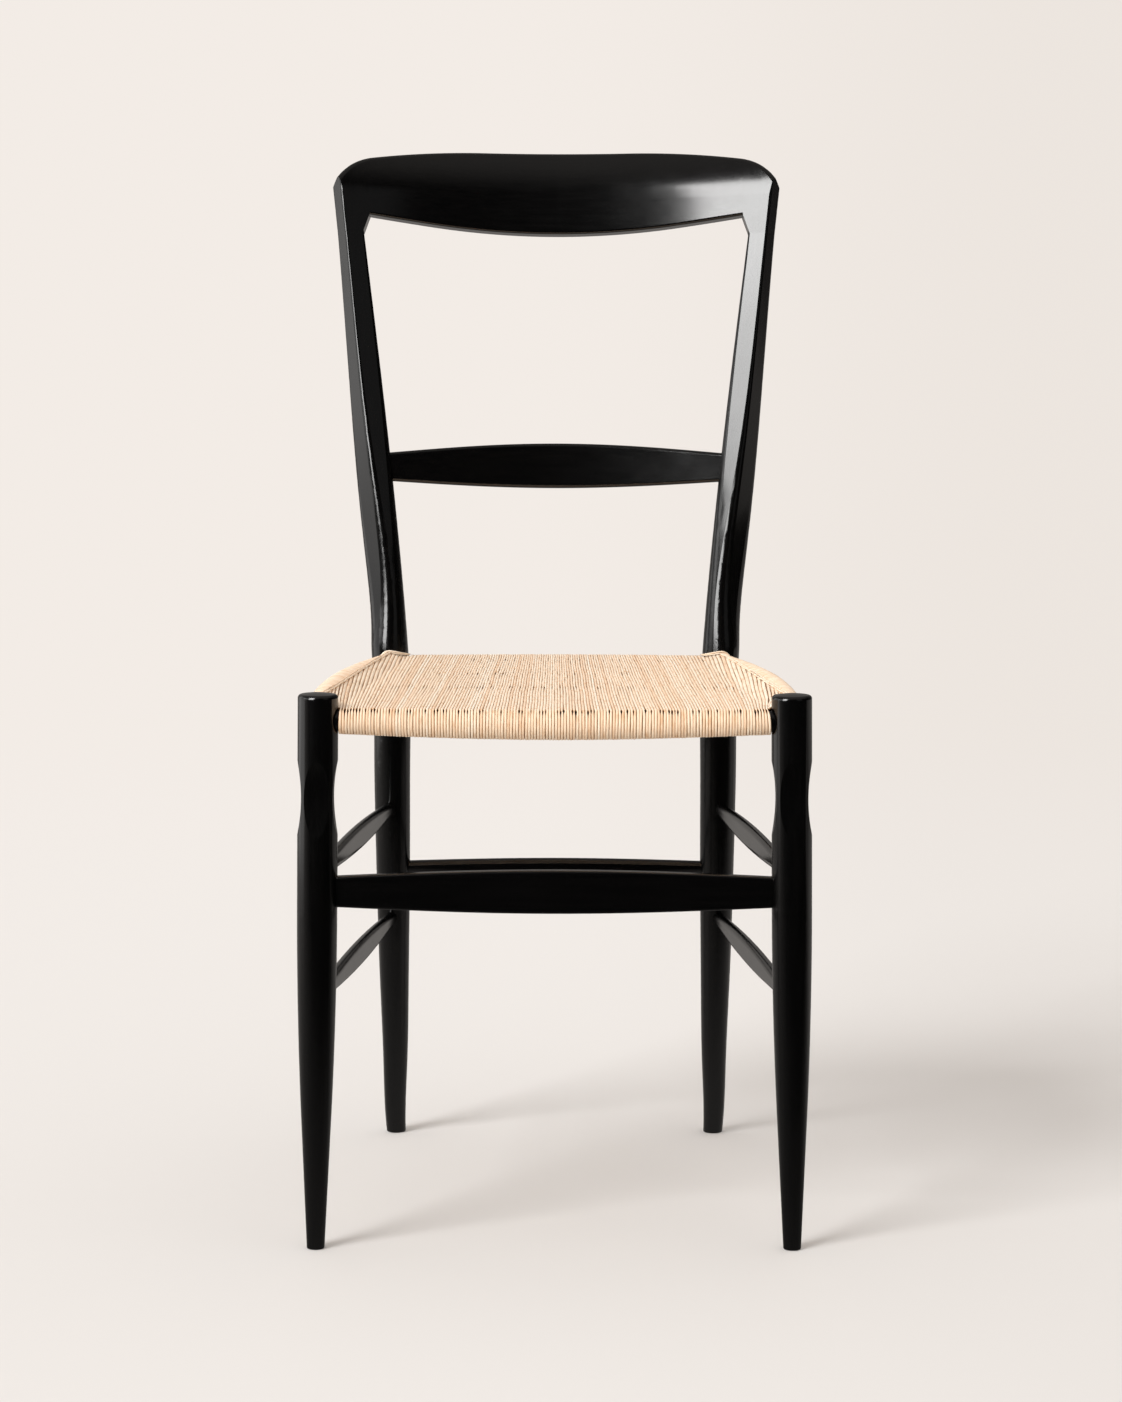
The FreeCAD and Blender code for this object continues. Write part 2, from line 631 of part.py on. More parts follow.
def front_stretcher():
    thickness = FRONT_STRETCHER_THICKNESS
    return cross_member(leg_face(FRONT_STRETCHER_HEIGHT), (thickness, FRONT_STRETCHER_END_WIDTH),
                        (thickness, FRONT_STRETCHER_MIDDLE_WIDTH), STRETCHER_TENON,
                        FRONT_STRETCHER_EDGE_ROUND)


def back_stretcher():
    return cross_member(post_face(BACK_STRETCHER_HEIGHT), (BACK_STRETCHER_END, BACK_STRETCHER_END),
                        (BACK_STRETCHER_MIDDLE_THICKNESS, BACK_STRETCHER_MIDDLE_WIDTH), STRETCHER_TENON)


def front_seat_rail():
    return cross_member(leg_face(FRONT_RAIL_HEIGHT), (SEAT_RAIL_END, SEAT_RAIL_END),
                        (SEAT_RAIL_MIDDLE, SEAT_RAIL_MIDDLE), rail_tenon(leg_radius(FRONT_RAIL_HEIGHT)),
                        bow=V(0, 0, -FRONT_RAIL_SAG))


def back_seat_rail():
    return cross_member(post_face(BACK_RAIL_HEIGHT), (SEAT_RAIL_END, SEAT_RAIL_END),
                        (SEAT_RAIL_MIDDLE, SEAT_RAIL_MIDDLE), rail_tenon(post_diameter(BACK_RAIL_HEIGHT) / 2),
                        bow=V(0, 0, -BACK_RAIL_SAG))


def back_slat():
    tilt = post_tilt(SLAT_HEIGHT)
    right_end = post_axis(SLAT_HEIGHT)
    right_end.x = post_inner_face(SLAT_HEIGHT) + TENON_ROOT
    return cross_member(right_end, (SLAT_THICKNESS, SLAT_END_WIDTH), (SLAT_THICKNESS, SLAT_MIDDLE_WIDTH),
                        SLAT_TENON, SLAT_EDGE_ROUND, V(0, SLAT_BOW, 0),
                        V(0, math.sin(tilt), math.cos(tilt)))


def side_member(front_height, back_height, end_size, middle_size, tenon, bow=V(0, 0, 0), lead=1.0):
    """A member that runs from the right front leg to the right post."""
    leg = leg_axis(front_height)
    post = post_axis(back_height)
    start = inset(leg, post, leg_radius(front_height) - TENON_ROOT)
    end = inset(post, leg, post_diameter(back_height) / 2 - TENON_ROOT)
    return Member(start, end, end_size, middle_size, tenon, bow=bow, lead=lead)


def right_side_stretcher(height):
    end_size = (SIDE_STRETCHER_END, SIDE_STRETCHER_END)
    middle_size = (SIDE_STRETCHER_MIDDLE_THICKNESS, SIDE_STRETCHER_MIDDLE_WIDTH)
    return side_member(height, height, end_size, middle_size, side_stretcher_tenon())


def right_seat_rail():
    outwards = V(SIDE_RAIL_BOW, 0, SIDE_RAIL_CROWN)
    return side_member(SIDE_RAIL_FRONT_HEIGHT, SIDE_RAIL_BACK_HEIGHT, (SIDE_RAIL_END, SIDE_RAIL_END),
                       (SEAT_RAIL_MIDDLE, SEAT_RAIL_MIDDLE), SIDE_RAIL_TENON, outwards, SIDE_RAIL_LEAD)


# Cane seat

def rail_at(rail, x):
    """Centre and radius of a cross rail at x."""
    share = (x - rail.start.x) / (rail.end.x - rail.start.x)
    return rail.centre(share), rail.size(share)[0] / 2


def warp_edges():
    """Half widths of the warp at the front and back rails, clear of the legs and posts."""
    front = leg_axis(FRONT_RAIL_HEIGHT).x - leg_radius(FRONT_RAIL_HEIGHT) - CANE_GAP
    back = post_axis(KNEE_HEIGHT).x - POST_DIAMETER / 2 - CANE_GAP
    return front, back


def belt_section(front, back, radius):
    """Wire of a belt round two equal rails, seen along them."""
    along = (back - front).normalize()
    upwards = (Z_AXIS - along * Z_AXIS.dot(along)).normalize()
    front_top = front + upwards * radius
    front_bottom = front - upwards * radius
    back_top = back + upwards * radius
    back_bottom = back - upwards * radius
    nose = front - along * radius
    tail = back + along * radius
    slant = math.sqrt(0.5) * radius
    edges = [
        line(front_top, back_top),
        Part.Arc(back_top, back + (along + upwards) * slant, tail).toShape(),
        Part.Arc(tail, back + (along - upwards) * slant, back_bottom).toShape(),
        line(back_bottom, front_bottom),
        Part.Arc(front_bottom, front - (along + upwards) * slant, nose).toShape(),
        Part.Arc(nose, front + (upwards - along) * slant, front_top).toShape(),
    ]
    return Part.Wire(edges)


def cane_warp(front_rail, back_rail):
    """Front-to-back strands: a thin belt round the front and back rails, narrower at the back."""
    front_half, back_half = warp_edges()
    outer = []
    inner = []
    for i in range(LOFT_STEPS + 1):
        share = 2 * i / LOFT_STEPS - 1
        front, front_radius = rail_at(front_rail, share * front_half)
        back, back_radius = rail_at(back_rail, share * back_half)
        radius = max(front_radius, back_radius) + CANE_GAP
        inner.append(belt_section(front, back, radius))
        outer.append(belt_section(front, back, radius + CANE_THICKNESS))
    return single(Part.makeLoft(outer, True, False).cut(Part.makeLoft(inner, True, False)))


def wrap_section(centre, radius, edge_x, top, bottom):
    """Wire of the weft at one depth: round the right and left rails, drawn in to top and bottom between.

    The drawn-in corners are at edge_x, and the lines from them touch the rails.
    """
    outline = []
    for height, sense in ((bottom, -1), (top, 1)):
        away = V(edge_x - centre.x, 0, height - centre.z)
        swing = math.acos(radius / away.Length)
        angle = math.atan2(away.z, away.x) - sense * swing
        outline.append((V(edge_x, centre.y, height),
                        centre + V(radius * math.cos(angle), 0, radius * math.sin(angle))))
    (low_corner, low_touch), (high_corner, high_touch) = outline
    outermost = centre + X_AXIS * radius

    def flip(point):
        return V(-point.x, point.y, point.z)

    def arc(a, b):
        middle = centre + (a + b - centre * 2).normalize() * radius
        return Part.Arc(a, middle, b).toShape()

    return Part.Wire([
        line(low_corner, low_touch),
        arc(low_touch, outermost),
        arc(outermost, high_touch),
        line(high_touch, high_corner),
        line(high_corner, flip(high_corner)),
        line(flip(high_corner), flip(high_touch)),
        mirrored(arc(outermost, high_touch)),
        mirrored(arc(low_touch, outermost)),
        line(flip(low_touch), flip(low_corner)),
        line(flip(low_corner), low_corner),
    ])


def cane_weft(side_rail, front_rail, back_rail):
    """Side-to-side strands: round the side rails, and between the warp's two sheets in the middle."""
    front_half, back_half = warp_edges()
    front_middle, front_middle_radius = rail_at(front_rail, 0.0)
    back_middle, back_middle_radius = rail_at(back_rail, 0.0)
    front_end, front_end_radius = rail_at(front_rail, front_half)
    back_end, back_end_radius = rail_at(back_rail, back_half)
    outer = []
    inner = []
    # The weft stops as far outside the leg and the post as the rail's full body goes into them
    first = 2 * TENON_ROOT / (side_rail.end - side_rail.start).Length
    for i in range(LOFT_STEPS + 1):
        share = first + (1 - 2 * first) * i / LOFT_STEPS
        centre = side_rail.centre(share)
        radius = side_rail.size(share)[0] / 2 + CANE_GAP
        depth = (centre.y - front_middle.y) / (back_middle.y - front_middle.y)
        edge_x = front_half + (back_half - front_half) * depth + CANE_GAP + CANE_THICKNESS
        under_warp = (front_middle.z + front_middle_radius) * (1 - depth)
        under_warp += (back_middle.z + back_middle_radius) * depth
        over_warp = (front_end.z - front_end_radius) * (1 - depth) + (back_end.z - back_end_radius) * depth
        top = under_warp - CANE_GAP
        bottom = over_warp + CANE_GAP
        outer.append(wrap_section(centre, radius + CANE_THICKNESS, edge_x, top, bottom))
        inner.append(wrap_section(centre, radius, edge_x - CANE_THICKNESS / 2, top - CANE_THICKNESS,
                                  bottom + CANE_THICKNESS))
    return single(Part.makeLoft(outer, True, False).cut(Part.makeLoft(inner, True, False)))


# Assembly

def build_nodes():
    cross = {
        "front_stretcher": front_stretcher(),
        "back_stretcher": back_stretcher(),
        "front_seat_rail": front_seat_rail(),
        "back_seat_rail": back_seat_rail(),
        "back_slat": back_slat(),
    }
    sides = {
        "upper_side_stretcher": right_side_stretcher(UPPER_SIDE_STRETCHER_HEIGHT),
        "lower_side_stretcher": right_side_stretcher(LOWER_SIDE_STRETCHER_HEIGHT),
        "side_seat_rail": right_seat_rail(),
    }
    in_leg = [cross["front_stretcher"], cross["front_seat_rail"]] + list(sides.values())
    in_post = [cross["back_stretcher"], cross["back_seat_rail"], cross["back_slat"]] + list(sides.values())
    paired = {"front_leg": right_leg(in_leg), "back_post": right_post(in_post)}
    paired.update({name: member_solid(member) for name, member in sides.items()})

    nodes = {name: member_solid(member) for name, member in cross.items()}
    for name, shape in paired.items():
        nodes[name + "_right"] = shape
        nodes[name + "_left"] = mirrored(shape)
    nodes["crest_rail"] = crest_rail()
    nodes["cane_warp"] = cane_warp(cross["front_seat_rail"], cross["back_seat_rail"])
    nodes["cane_weft"] = cane_weft(sides["side_seat_rail"], cross["front_seat_rail"], cross["back_seat_rail"])
    return nodes


def main():
    nodes = build_nodes()
    outermost = [nodes[name] for name in ("front_leg_right", "back_post_right", "crest_rail")]
    box = Part.Compound(outermost).optimalBoundingBox()
    to_origin = V(0, -(box.YMin + box.YMax) / 2, 0)
    os.makedirs("parts", exist_ok=True)
    for name, shape in nodes.items():
        shape.translate(to_origin)
        shape.exportStep("parts/" + name + ".step")
        print(name, len(shape.Solids), "solid, valid", shape.isValid())
    print("front leg axes at y", round(to_origin.y, 3))


main()
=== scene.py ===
"""Studio scene of the cane chair: camera, soft light, black lacquer and the woven cane seat.

Metres, +Z up, the front of the chair faces -Y. The wooden nodes keep their own meshes and get a lacquer;
the two plain cane belts are replaced by woven strands that follow the same seat rails.
"""
import math
import random
import bpy
from mathutils import Matrix, Vector, noise


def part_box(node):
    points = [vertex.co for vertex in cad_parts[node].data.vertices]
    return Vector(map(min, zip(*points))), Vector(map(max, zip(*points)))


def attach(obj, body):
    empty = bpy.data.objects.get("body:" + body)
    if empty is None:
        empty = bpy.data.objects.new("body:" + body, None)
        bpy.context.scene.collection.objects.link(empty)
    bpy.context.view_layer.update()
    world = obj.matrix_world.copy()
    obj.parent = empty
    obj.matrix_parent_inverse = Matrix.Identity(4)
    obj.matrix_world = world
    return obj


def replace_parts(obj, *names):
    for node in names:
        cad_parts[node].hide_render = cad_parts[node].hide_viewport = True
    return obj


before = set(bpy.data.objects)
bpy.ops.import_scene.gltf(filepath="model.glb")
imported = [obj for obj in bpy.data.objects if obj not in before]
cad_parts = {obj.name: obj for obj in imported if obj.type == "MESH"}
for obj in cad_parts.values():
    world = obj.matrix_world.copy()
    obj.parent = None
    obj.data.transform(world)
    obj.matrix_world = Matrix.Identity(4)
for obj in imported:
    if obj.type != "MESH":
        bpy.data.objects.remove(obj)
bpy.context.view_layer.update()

MM = 0.001

# Photograph, in pixels, and the camera fitted to it
PHOTO_HEIGHT = 1402
FOCAL_PIXELS = 3603.4
SENSOR = 36.0                       # millimetres on the long, vertical side
CAMERA_X = 2.6 * MM
CAMERA_DISTANCE = 2858.1 * MM       # in front of the axes of the front legs
CAMERA_HEIGHT = 794.5 * MM
CAMERA_PITCH = 6.90                 # degrees, looking down
CAMERA_PAN = 0.045
CAMERA_ROLL = 0.12

# Light: the sun's strength is its irradiance, and its angles are counted from the front and from the floor
SUN_STRENGTH = 2.4
SUN_ANGLE = 25.0
SUN_AZIMUTH = 46.0
SUN_ELEVATION = 34.0
SUN_DISTANCE = 3.0
LAMP_COLOUR = (1.0, 0.995, 0.985)
SOFTBOXES = (                       # name, place, target, width, height and brightness per area
    ("key_softbox_upper", (-1.10, -1.45, 1.83), (0.23, 0.25, 1.16), 0.9, 0.65, 18.5),
    ("key_softbox_lower", (-1.24, -1.63, 1.11), (0.09, 0.07, 0.44), 0.9, 0.85, 13.0),
    ("fill_softbox", (1.30, -1.45, 1.25), (0.0, 0.0, 0.75), 1.0, 1.3, 0.16),
    ("rim_softbox", (-2.0, 0.25, 0.85), (0.0, 0.0, 0.6), 1.9, 1.8, 1.0),
    ("side_softbox", (-2.0, -0.75, 1.0), (0.0, 0.0, 0.6), 0.9, 0.6, 2.0),
)

# Background as the photograph shows it, in linear light
BACKDROP = (0.895, 0.839, 0.791)
BACKDROP_SHADED = (0.843, 0.787, 0.738)     # towards the right
BACKDROP_SPAN = (-0.02, 0.14)       # slants to the right at which the shade starts and is full

# Seat rails inside the cane, as the solids have them
RAIL_MIDDLE_RADIUS = 10.25 * MM
CROSS_RAIL_END_RADIUS = 8.5 * MM
SIDE_RAIL_END_RADIUS = 8.5 * MM
POST_RADIUS = 16.25 * MM            # of the front legs too, at the seat
RAIL_ROOT = 2.0 * MM                # a rail's full body goes this far into its leg or post
RAIL_TENON = 4.75 * MM              # of the front and back rails
FRONT_RAIL_SAG = 3.0 * MM
BACK_RAIL_SAG = 1.0 * MM
SIDE_RAIL_BOW = 9.0 * MM
SIDE_RAIL_CROWN = 1.5 * MM
SIDE_RAIL_LEAD = 0.8                # the bow is fullest nearer the front
SIDE_RAIL_FRONT_DROP = 14.0 * MM    # below the top of the front legs
SIDE_RAIL_BACK_DROP = 16.0 * MM

# Cane strands
CANE_THICKNESS = 2.0 * MM
CANE_GAP = 0.4 * MM                 # between the strands and the rails
STRAND_HALF = 0.75 * MM             # half the thickness of one strand
WARP_COUNT = 144
WEFT_COUNT = 132
STRAND_PROFILE = (                  # points of a strand's section: across, outwards, and place round it
    (1.0, -0.20, 0.00),
    (0.93, 0.45, 0.08),
    (0.62, 0.86, 0.16),
    (0.0, 1.0, 0.25),
    (-0.62, 0.86, 0.34),
    (-0.93, 0.45, 0.42),
    (-1.0, -0.20, 0.50),
    (0.0, -0.80, 0.75),
)
STRAND_SIDES = len(STRAND_PROFILE)
TOP_PLACE = 0.25                    # the place round a strand that faces out
STRAND_FULLNESS = 0.99              # share of its room across that a strand fills
RUN_LENGTH = 360.0 * MM             # from the front rail to the back rail
FAN_MIDDLE = 0.18                   # the middle strands draw in by this share towards the back
FAN_EDGE = 0.22                     # and the outermost ones by this much less
HOLE_ROWS = (                       # place behind the front rail, length, share of gaps open, half width
    (-4 * MM, 2.6 * MM, 0.42, 0.70 * MM),
    (135 * MM, 8.0 * MM, 0.35, 0.40 * MM),
    (225 * MM, 8.0 * MM, 0.12, 0.40 * MM),
    (320 * MM, 8.0 * MM, 0.12, 0.40 * MM),
)
HOLE_SIZES = (0.45, 1.1)            # least and greatest share of a row's half width
HOLE_SHIFT = 0.5                    # of a hole along the strands, as a share of its length
HOLE_STATIONS = (-1.6, -0.8, 0.0, 0.8, 1.6)     # points along each hole, in lengths
RUN_STATIONS = (0.0, 0.13, 0.2, 0.27, 0.45, 0.52, 0.7, 0.77, 0.97)  # and along the run, in shares
STATION_ROOM = 1.0 * MM             # between the last of these and the end of a strand
END_STEP = 1.0 * MM                 # with which the end of a strand is found
NARROWEST = 0.4                     # share of its width that a strand keeps between two holes
CORNER_TUCK = (1.5 * MM, 4.0 * MM)  # the strands next to the left and right legs bend in behind the roll
CORNER_TUCK_PLACE = 8.0 * MM
CORNER_TUCK_LENGTH = 10.0 * MM
CORNER_TUCK_WIDTH = 12.0 * MM
CORNER_COUNT = 6                    # strands that start behind each front leg
CORNER_STEPS = 8
SEAM_ROOM = 0.5 * MM
WARP_SEED = 7
WEFT_SEED = 11
EDGE_SEED = 5
PATTERN_STARTS = (0, 5)             # metres along the strand at which its pattern may start
WARP_BULK = (0.9, 1.12)             # least and greatest share of a strand's thickness
WEFT_BULK = (0.9, 1.1)
WARP_SWAY = 0.7 * MM
WARP_SWAY_PITCH = 60 * MM
WARP_WOBBLE = 0.25 * MM
WARP_WOBBLE_PITCH = 22 * MM
WARP_RIPPLE = 0.15 * MM
WARP_RIPPLE_PITCH = 30 * MM
WEFT_DIP = 2.2 * MM                 # the weft passes this far under the warp
WEFT_WOBBLE = 0.25 * MM
WEFT_WOBBLE_RATE = 40.0             # waves per metre
CORD_RADIUS = 0.8 * MM              # of the cords along the seams and round the posts
CORD_WANDER = 0.6 * MM
CORD_PITCH = 25.0 * MM
POST_BEND = Vector((1.6, 1.5, 0.0)) * MM    # the posts have bent this far from their knees at the seat
LIP_OUTER = 65.0                    # degrees from the front of a post
LIP_INNER = -80.0
SEAM_STEPS = 48
LIP_STEPS = 16
BACK_TURN_STEPS = 8
FRONT_TURN_STEPS = 16
BOTTOM_STEPS = 6
SIDE_TURN_STEPS = 14

GROUND = -0.0002                    # the floor lies just under the feet


def srgb(red, green, blue):
    """Linear colour of an 8-bit colour."""
    def linear(level):
        return ((level / 255 + 0.055) / 1.055) ** 2.4 if level > 10 else level / 255 / 12.92
    return linear(red), linear(green), linear(blue)


def middle_of(node):
    low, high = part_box(node)
    return (Vector(low) + Vector(high)) / 2


# Camera and light

def make_camera():
    front_axis = middle_of("front_leg_right").y
    data = bpy.data.cameras.new("photo_camera")
    data.sensor_fit = "VERTICAL"
    data.sensor_height = SENSOR
    data.sensor_width = SENSOR
    data.lens = FOCAL_PIXELS / PHOTO_HEIGHT * SENSOR
    camera = bpy.data.objects.new("photo_camera", data)
    bpy.context.scene.collection.objects.link(camera)
    camera.location = (CAMERA_X, front_axis - CAMERA_DISTANCE, CAMERA_HEIGHT)
    pan = Matrix.Rotation(math.radians(-CAMERA_PAN), 3, "Z")
    pitch = Matrix.Rotation(math.radians(90 - CAMERA_PITCH), 3, "X")
    roll = Matrix.Rotation(math.radians(CAMERA_ROLL), 3, "Z")
    camera.rotation_euler = (pan @ pitch @ roll).to_euler()
    bpy.context.scene.camera = camera


def aim(lamp, place, target):
    bpy.context.scene.collection.objects.link(lamp)
    lamp.visible_camera = False
    lamp.location = place
    lamp.rotation_euler = (Vector(target) - Vector(place)).to_track_quat("-Z", "Y").to_euler()


def make_sun():
    """Even light from the front left, which draws the shadows on the floor; no gloss mirrors it."""
    data = bpy.data.lights.new("key_light", "SUN")
    data.energy = SUN_STRENGTH
    data.angle = math.radians(SUN_ANGLE)
    data.color = LAMP_COLOUR
    azimuth = math.radians(SUN_AZIMUTH)
    elevation = math.radians(SUN_ELEVATION)
    lamp = bpy.data.objects.new("key_light", data)
    level = SUN_DISTANCE * math.cos(elevation)
    place = (-level * math.sin(azimuth), -level * math.cos(azimuth), SUN_DISTANCE * math.sin(elevation))
    aim(lamp, place, (0, 0, 0))
    lamp.visible_glossy = False


def make_softbox(name, place, target, width, height, radiance):
    """Area lamp of a given brightness per area that only the gloss mirrors."""
    data = bpy.data.lights.new(name, "AREA")
    data.shape = "RECTANGLE"
    data.size = width
    data.size_y = height
    data.energy = radiance * math.pi * width * height
    data.color = LAMP_COLOUR
    lamp = bpy.data.objects.new(name, data)
    aim(lamp, place, target)
    lamp.visible_diffuse = False


def make_lights():
    make_sun()
    for softbox in SOFTBOXES:
        make_softbox(*softbox)


# Node helpers

class Nodes:
    """Short calls for building one node tree."""

    def __init__(self, tree):
        self.tree = tree
        tree.nodes.clear()

    def add(self, kind, inputs=None, **settings):
        node = self.tree.nodes.new(kind)
        for name, value in settings.items():
            setattr(node, name, value)
        for name, value in (inputs or {}).items():
            if isinstance(value, bpy.types.NodeSocket):
                self.tree.links.new(value, node.inputs[name])
            else:
                node.inputs[name].default_value = value
        return node

    def ramp(self, value, stops):
        node = self.add("ShaderNodeValToRGB", {"Fac": value})
        ramp = node.color_ramp
        while len(ramp.elements) < len(stops):
            ramp.elements.new(0.5)
        for element, (place, colour) in zip(ramp.elements, stops):
            element.position = place
            element.color = tuple(colour) + (1,)
        return node.outputs["Color"]

    def multiply(self, first, second, share):
        """First colour times second, the second counting by its share."""
        node = self.add("ShaderNodeMix", {"Factor": share}, data_type="RGBA", blend_type="MULTIPLY")
        colours = [socket for socket in node.inputs if socket.type == "RGBA"]
        self.tree.links.new(first, colours[0])
        self.tree.links.new(second, colours[1])
        return [socket for socket in node.outputs if socket.type == "RGBA"][0]

    def span(self, value, low, high, start=0.0, end=1.0):
        """A value that goes smoothly from low to high while the given one goes from start to end."""
        inputs = {"Value": value, "From Min": start, "From Max": end, "To Min": low, "To Max": high}
        return self.add("ShaderNodeMapRange", inputs, interpolation_type="SMOOTHSTEP").outputs["Result"]

    def ramp_value(self, value, low, high):
        """A value that goes evenly from low to high while the given one goes from 0 to 1."""
        inputs = {"Value": value, "To Min": low, "To Max": high}
        return self.add("ShaderNodeMapRange", inputs).outputs["Result"]

    def mix(self, share, first, second):
        """First number where the share is 0, second where it is 1."""
        node = self.add("ShaderNodeMix", {"Factor": share}, data_type="FLOAT")
        numbers = [socket for socket in node.inputs if socket.type == "VALUE"][1:3]
        for socket, value in zip(numbers, (first, second)):
            if isinstance(value, bpy.types.NodeSocket):
                self.tree.links.new(value, socket)
            else:
                socket.default_value = value
        return node.outputs["Result"]

    def math(self, operation, first, second=0.0):
        return self.add("ShaderNodeMath", {0: first, 1: second}, operation=operation).outputs[0]

    def either(self, first, second):
        return self.math("MAXIMUM", first, second)

    def product(self, first, second):
        return self.math("MULTIPLY", first, second)

    def noise(self, place, scale, detail):
        inputs = {"Vector": place, "Scale": scale, "Detail": detail}
        return self.add("ShaderNodeTexNoise", inputs).outputs["Fac"]

    def stretched(self, place, scale):
        return self.add("ShaderNodeMapping", {"Vector": place, "Scale": scale}).outputs["Vector"]


AMBIENT = (0.39, 1.20)              # share of the backdrop that lights the chair, sideways and from above
BACKDROP_GLOSS = (0.006, 0.40)      # share that the gloss mirrors from in front and from behind the chair
GLOSS_BEHIND_SPAN = (-0.1, 0.6)     # spans of a direction's parts over which these shares come in
GLOSS_RIGHT = 0.20                  # share of that which is left on the right
GLOSS_RIGHT_SPAN = (-0.6, 0.8)
GLOSS_ABOVE = 0.40                  # share that the gloss mirrors from overhead
GLOSS_ABOVE_SPAN = (0.45, 0.9)


def make_world():
    """The camera sees the pale backdrop; the gloss sees it behind the chair, and a dark room before it."""
    world = bpy.data.worlds.new("studio")
    bpy.context.scene.world = world
    world.use_nodes = True
    n = Nodes(world.node_tree)
    path = n.add("ShaderNodeLightPath")
    direction = n.add("ShaderNodeSeparateXYZ", {0: n.add("ShaderNodeTexCoord").outputs["Generated"]})
    mirrored = n.product(n.span(direction.outputs["Y"], *BACKDROP_GLOSS, *GLOSS_BEHIND_SPAN),
                         n.span(direction.outputs["X"], 1.0, GLOSS_RIGHT, *GLOSS_RIGHT_SPAN))
    overhead = n.span(direction.outputs["Z"], 0.0, GLOSS_ABOVE, *GLOSS_ABOVE_SPAN)
    mirrored = n.either(mirrored, overhead)
    ambient = n.ramp_value(direction.outputs["Z"], *AMBIENT)
    lit = n.mix(path.outputs["Is Glossy Ray"], ambient, mirrored)
    strength = n.mix(n.either(path.outputs["Is Camera Ray"], path.outputs["Is Transmission Ray"]), lit, 1.0)
    colour = n.ramp(n.span(direction.outputs["X"], 0.0, 1.0, *BACKDROP_SPAN),
                    [(0.0, BACKDROP), (1.0, BACKDROP_SHADED)])
    background = n.add("ShaderNodeBackground", {"Color": colour, "Strength": strength})
    n.add("ShaderNodeOutputWorld", {"Surface": background.outputs[0]})


FLOOR_RADIUS = 30.0
FLOOR_SIDES = 96
FLOOR_COLOUR = (0.688, 0.679, 0.672)
FLOOR_SHADED = (0.655, 0.645, 0.637)    # towards the right
FLOOR_SHADED_SPAN = (-0.1, 0.6)     # places on the X axis where that shade starts and is full
FLOOR_SLANT = 3.08                  # the slants of the far floor spread from this far in front of the chair
SLANT_ROOM = 1.0                    # and count no shorter distance than this
FLOOR_TOP_UP = 0.05                 # share of the backdrop that the floor gives off by itself
FLOOR_NEAR = 1.3                    # the floor takes shadows up to this far from the chair
FLOOR_FAR = 3.4                     # and is plain backdrop from here on
FLOOR_GLOSS = (-0.6, 0.4)           # the gloss mirrors the floor behind these lines, not before them
FLOOR_LEFT = (-0.6, 1.0, 0.0)       # and on the left also the floor between two lines across this direction
FLOOR_LEFT_GLOSS = (-1.2, 1.0)


def make_floor():
    bpy.ops.mesh.primitive_circle_add(vertices=FLOOR_SIDES, radius=FLOOR_RADIUS, fill_type="NGON",
                                      location=(0, 0, GROUND))
    floor = bpy.context.object
    floor.name = "floor"
    material = bpy.data.materials.new("pale_floor")
    material.use_nodes = True
    n = Nodes(material.node_tree)
    path = n.add("ShaderNodeLightPath")
    glossy = path.outputs["Is Glossy Ray"]
    shown = n.either(n.either(path.outputs["Is Camera Ray"], path.outputs["Is Transmission Ray"]), glossy)
    place = n.add("ShaderNodeTexCoord").outputs["Object"]
    distance = n.add("ShaderNodeVectorMath", {0: place}, operation="LENGTH").outputs["Value"]
    away = n.span(distance, 0.0, 1.0, start=FLOOR_NEAR, end=FLOOR_FAR)
    sides = n.add("ShaderNodeSeparateXYZ", {0: place})
    behind = n.span(sides.outputs["Y"], *BACKDROP_GLOSS, *FLOOR_GLOSS)
    leftwards = n.add("ShaderNodeVectorMath", {0: place, 1: FLOOR_LEFT}, operation="DOT_PRODUCT")
    on_left = n.span(leftwards.outputs["Value"], 0.0, BACKDROP_GLOSS[1], *FLOOR_LEFT_GLOSS)
    mirrored = n.either(behind, on_left)
    reach = n.math("ABSOLUTE", n.math("ADD", sides.outputs["Y"], FLOOR_SLANT))
    slant = n.math("DIVIDE", sides.outputs["X"], n.either(reach, SLANT_ROOM))
    backdrop = n.ramp(n.span(slant, 0.0, 1.0, *BACKDROP_SPAN),
                      [(0.0, BACKDROP), (1.0, BACKDROP_SHADED)])
    tint = n.ramp(n.span(sides.outputs["X"], 0.0, 1.0, *FLOOR_SHADED_SPAN),
                  [(0.0, FLOOR_COLOUR), (1.0, FLOOR_SHADED)])
    paint = n.add("ShaderNodeBsdfDiffuse", {"Color": tint})
    top_up = n.mix(shown, 0.0, FLOOR_TOP_UP)
    glow = n.add("ShaderNodeEmission", {"Color": backdrop, "Strength": top_up})
    lit = n.add("ShaderNodeAddShader", {0: paint.outputs[0], 1: glow.outputs[0]})
    plain = n.add("ShaderNodeEmission", {"Color": backdrop, "Strength": n.mix(shown, AMBIENT[1], 1.0)})
    seen = n.add("ShaderNodeMixShader", {0: away, 1: lit.outputs[0], 2: plain.outputs[0]})
    image = n.add("ShaderNodeEmission", {"Color": BACKDROP + (1,), "Strength": mirrored})
    surface = n.add("ShaderNodeMixShader", {0: glossy, 1: seen.outputs[0], 2: image.outputs[0]})
    n.add("ShaderNodeOutputMaterial", {"Surface": surface.outputs[0]})
    floor.data.materials.append(material)


# Materials

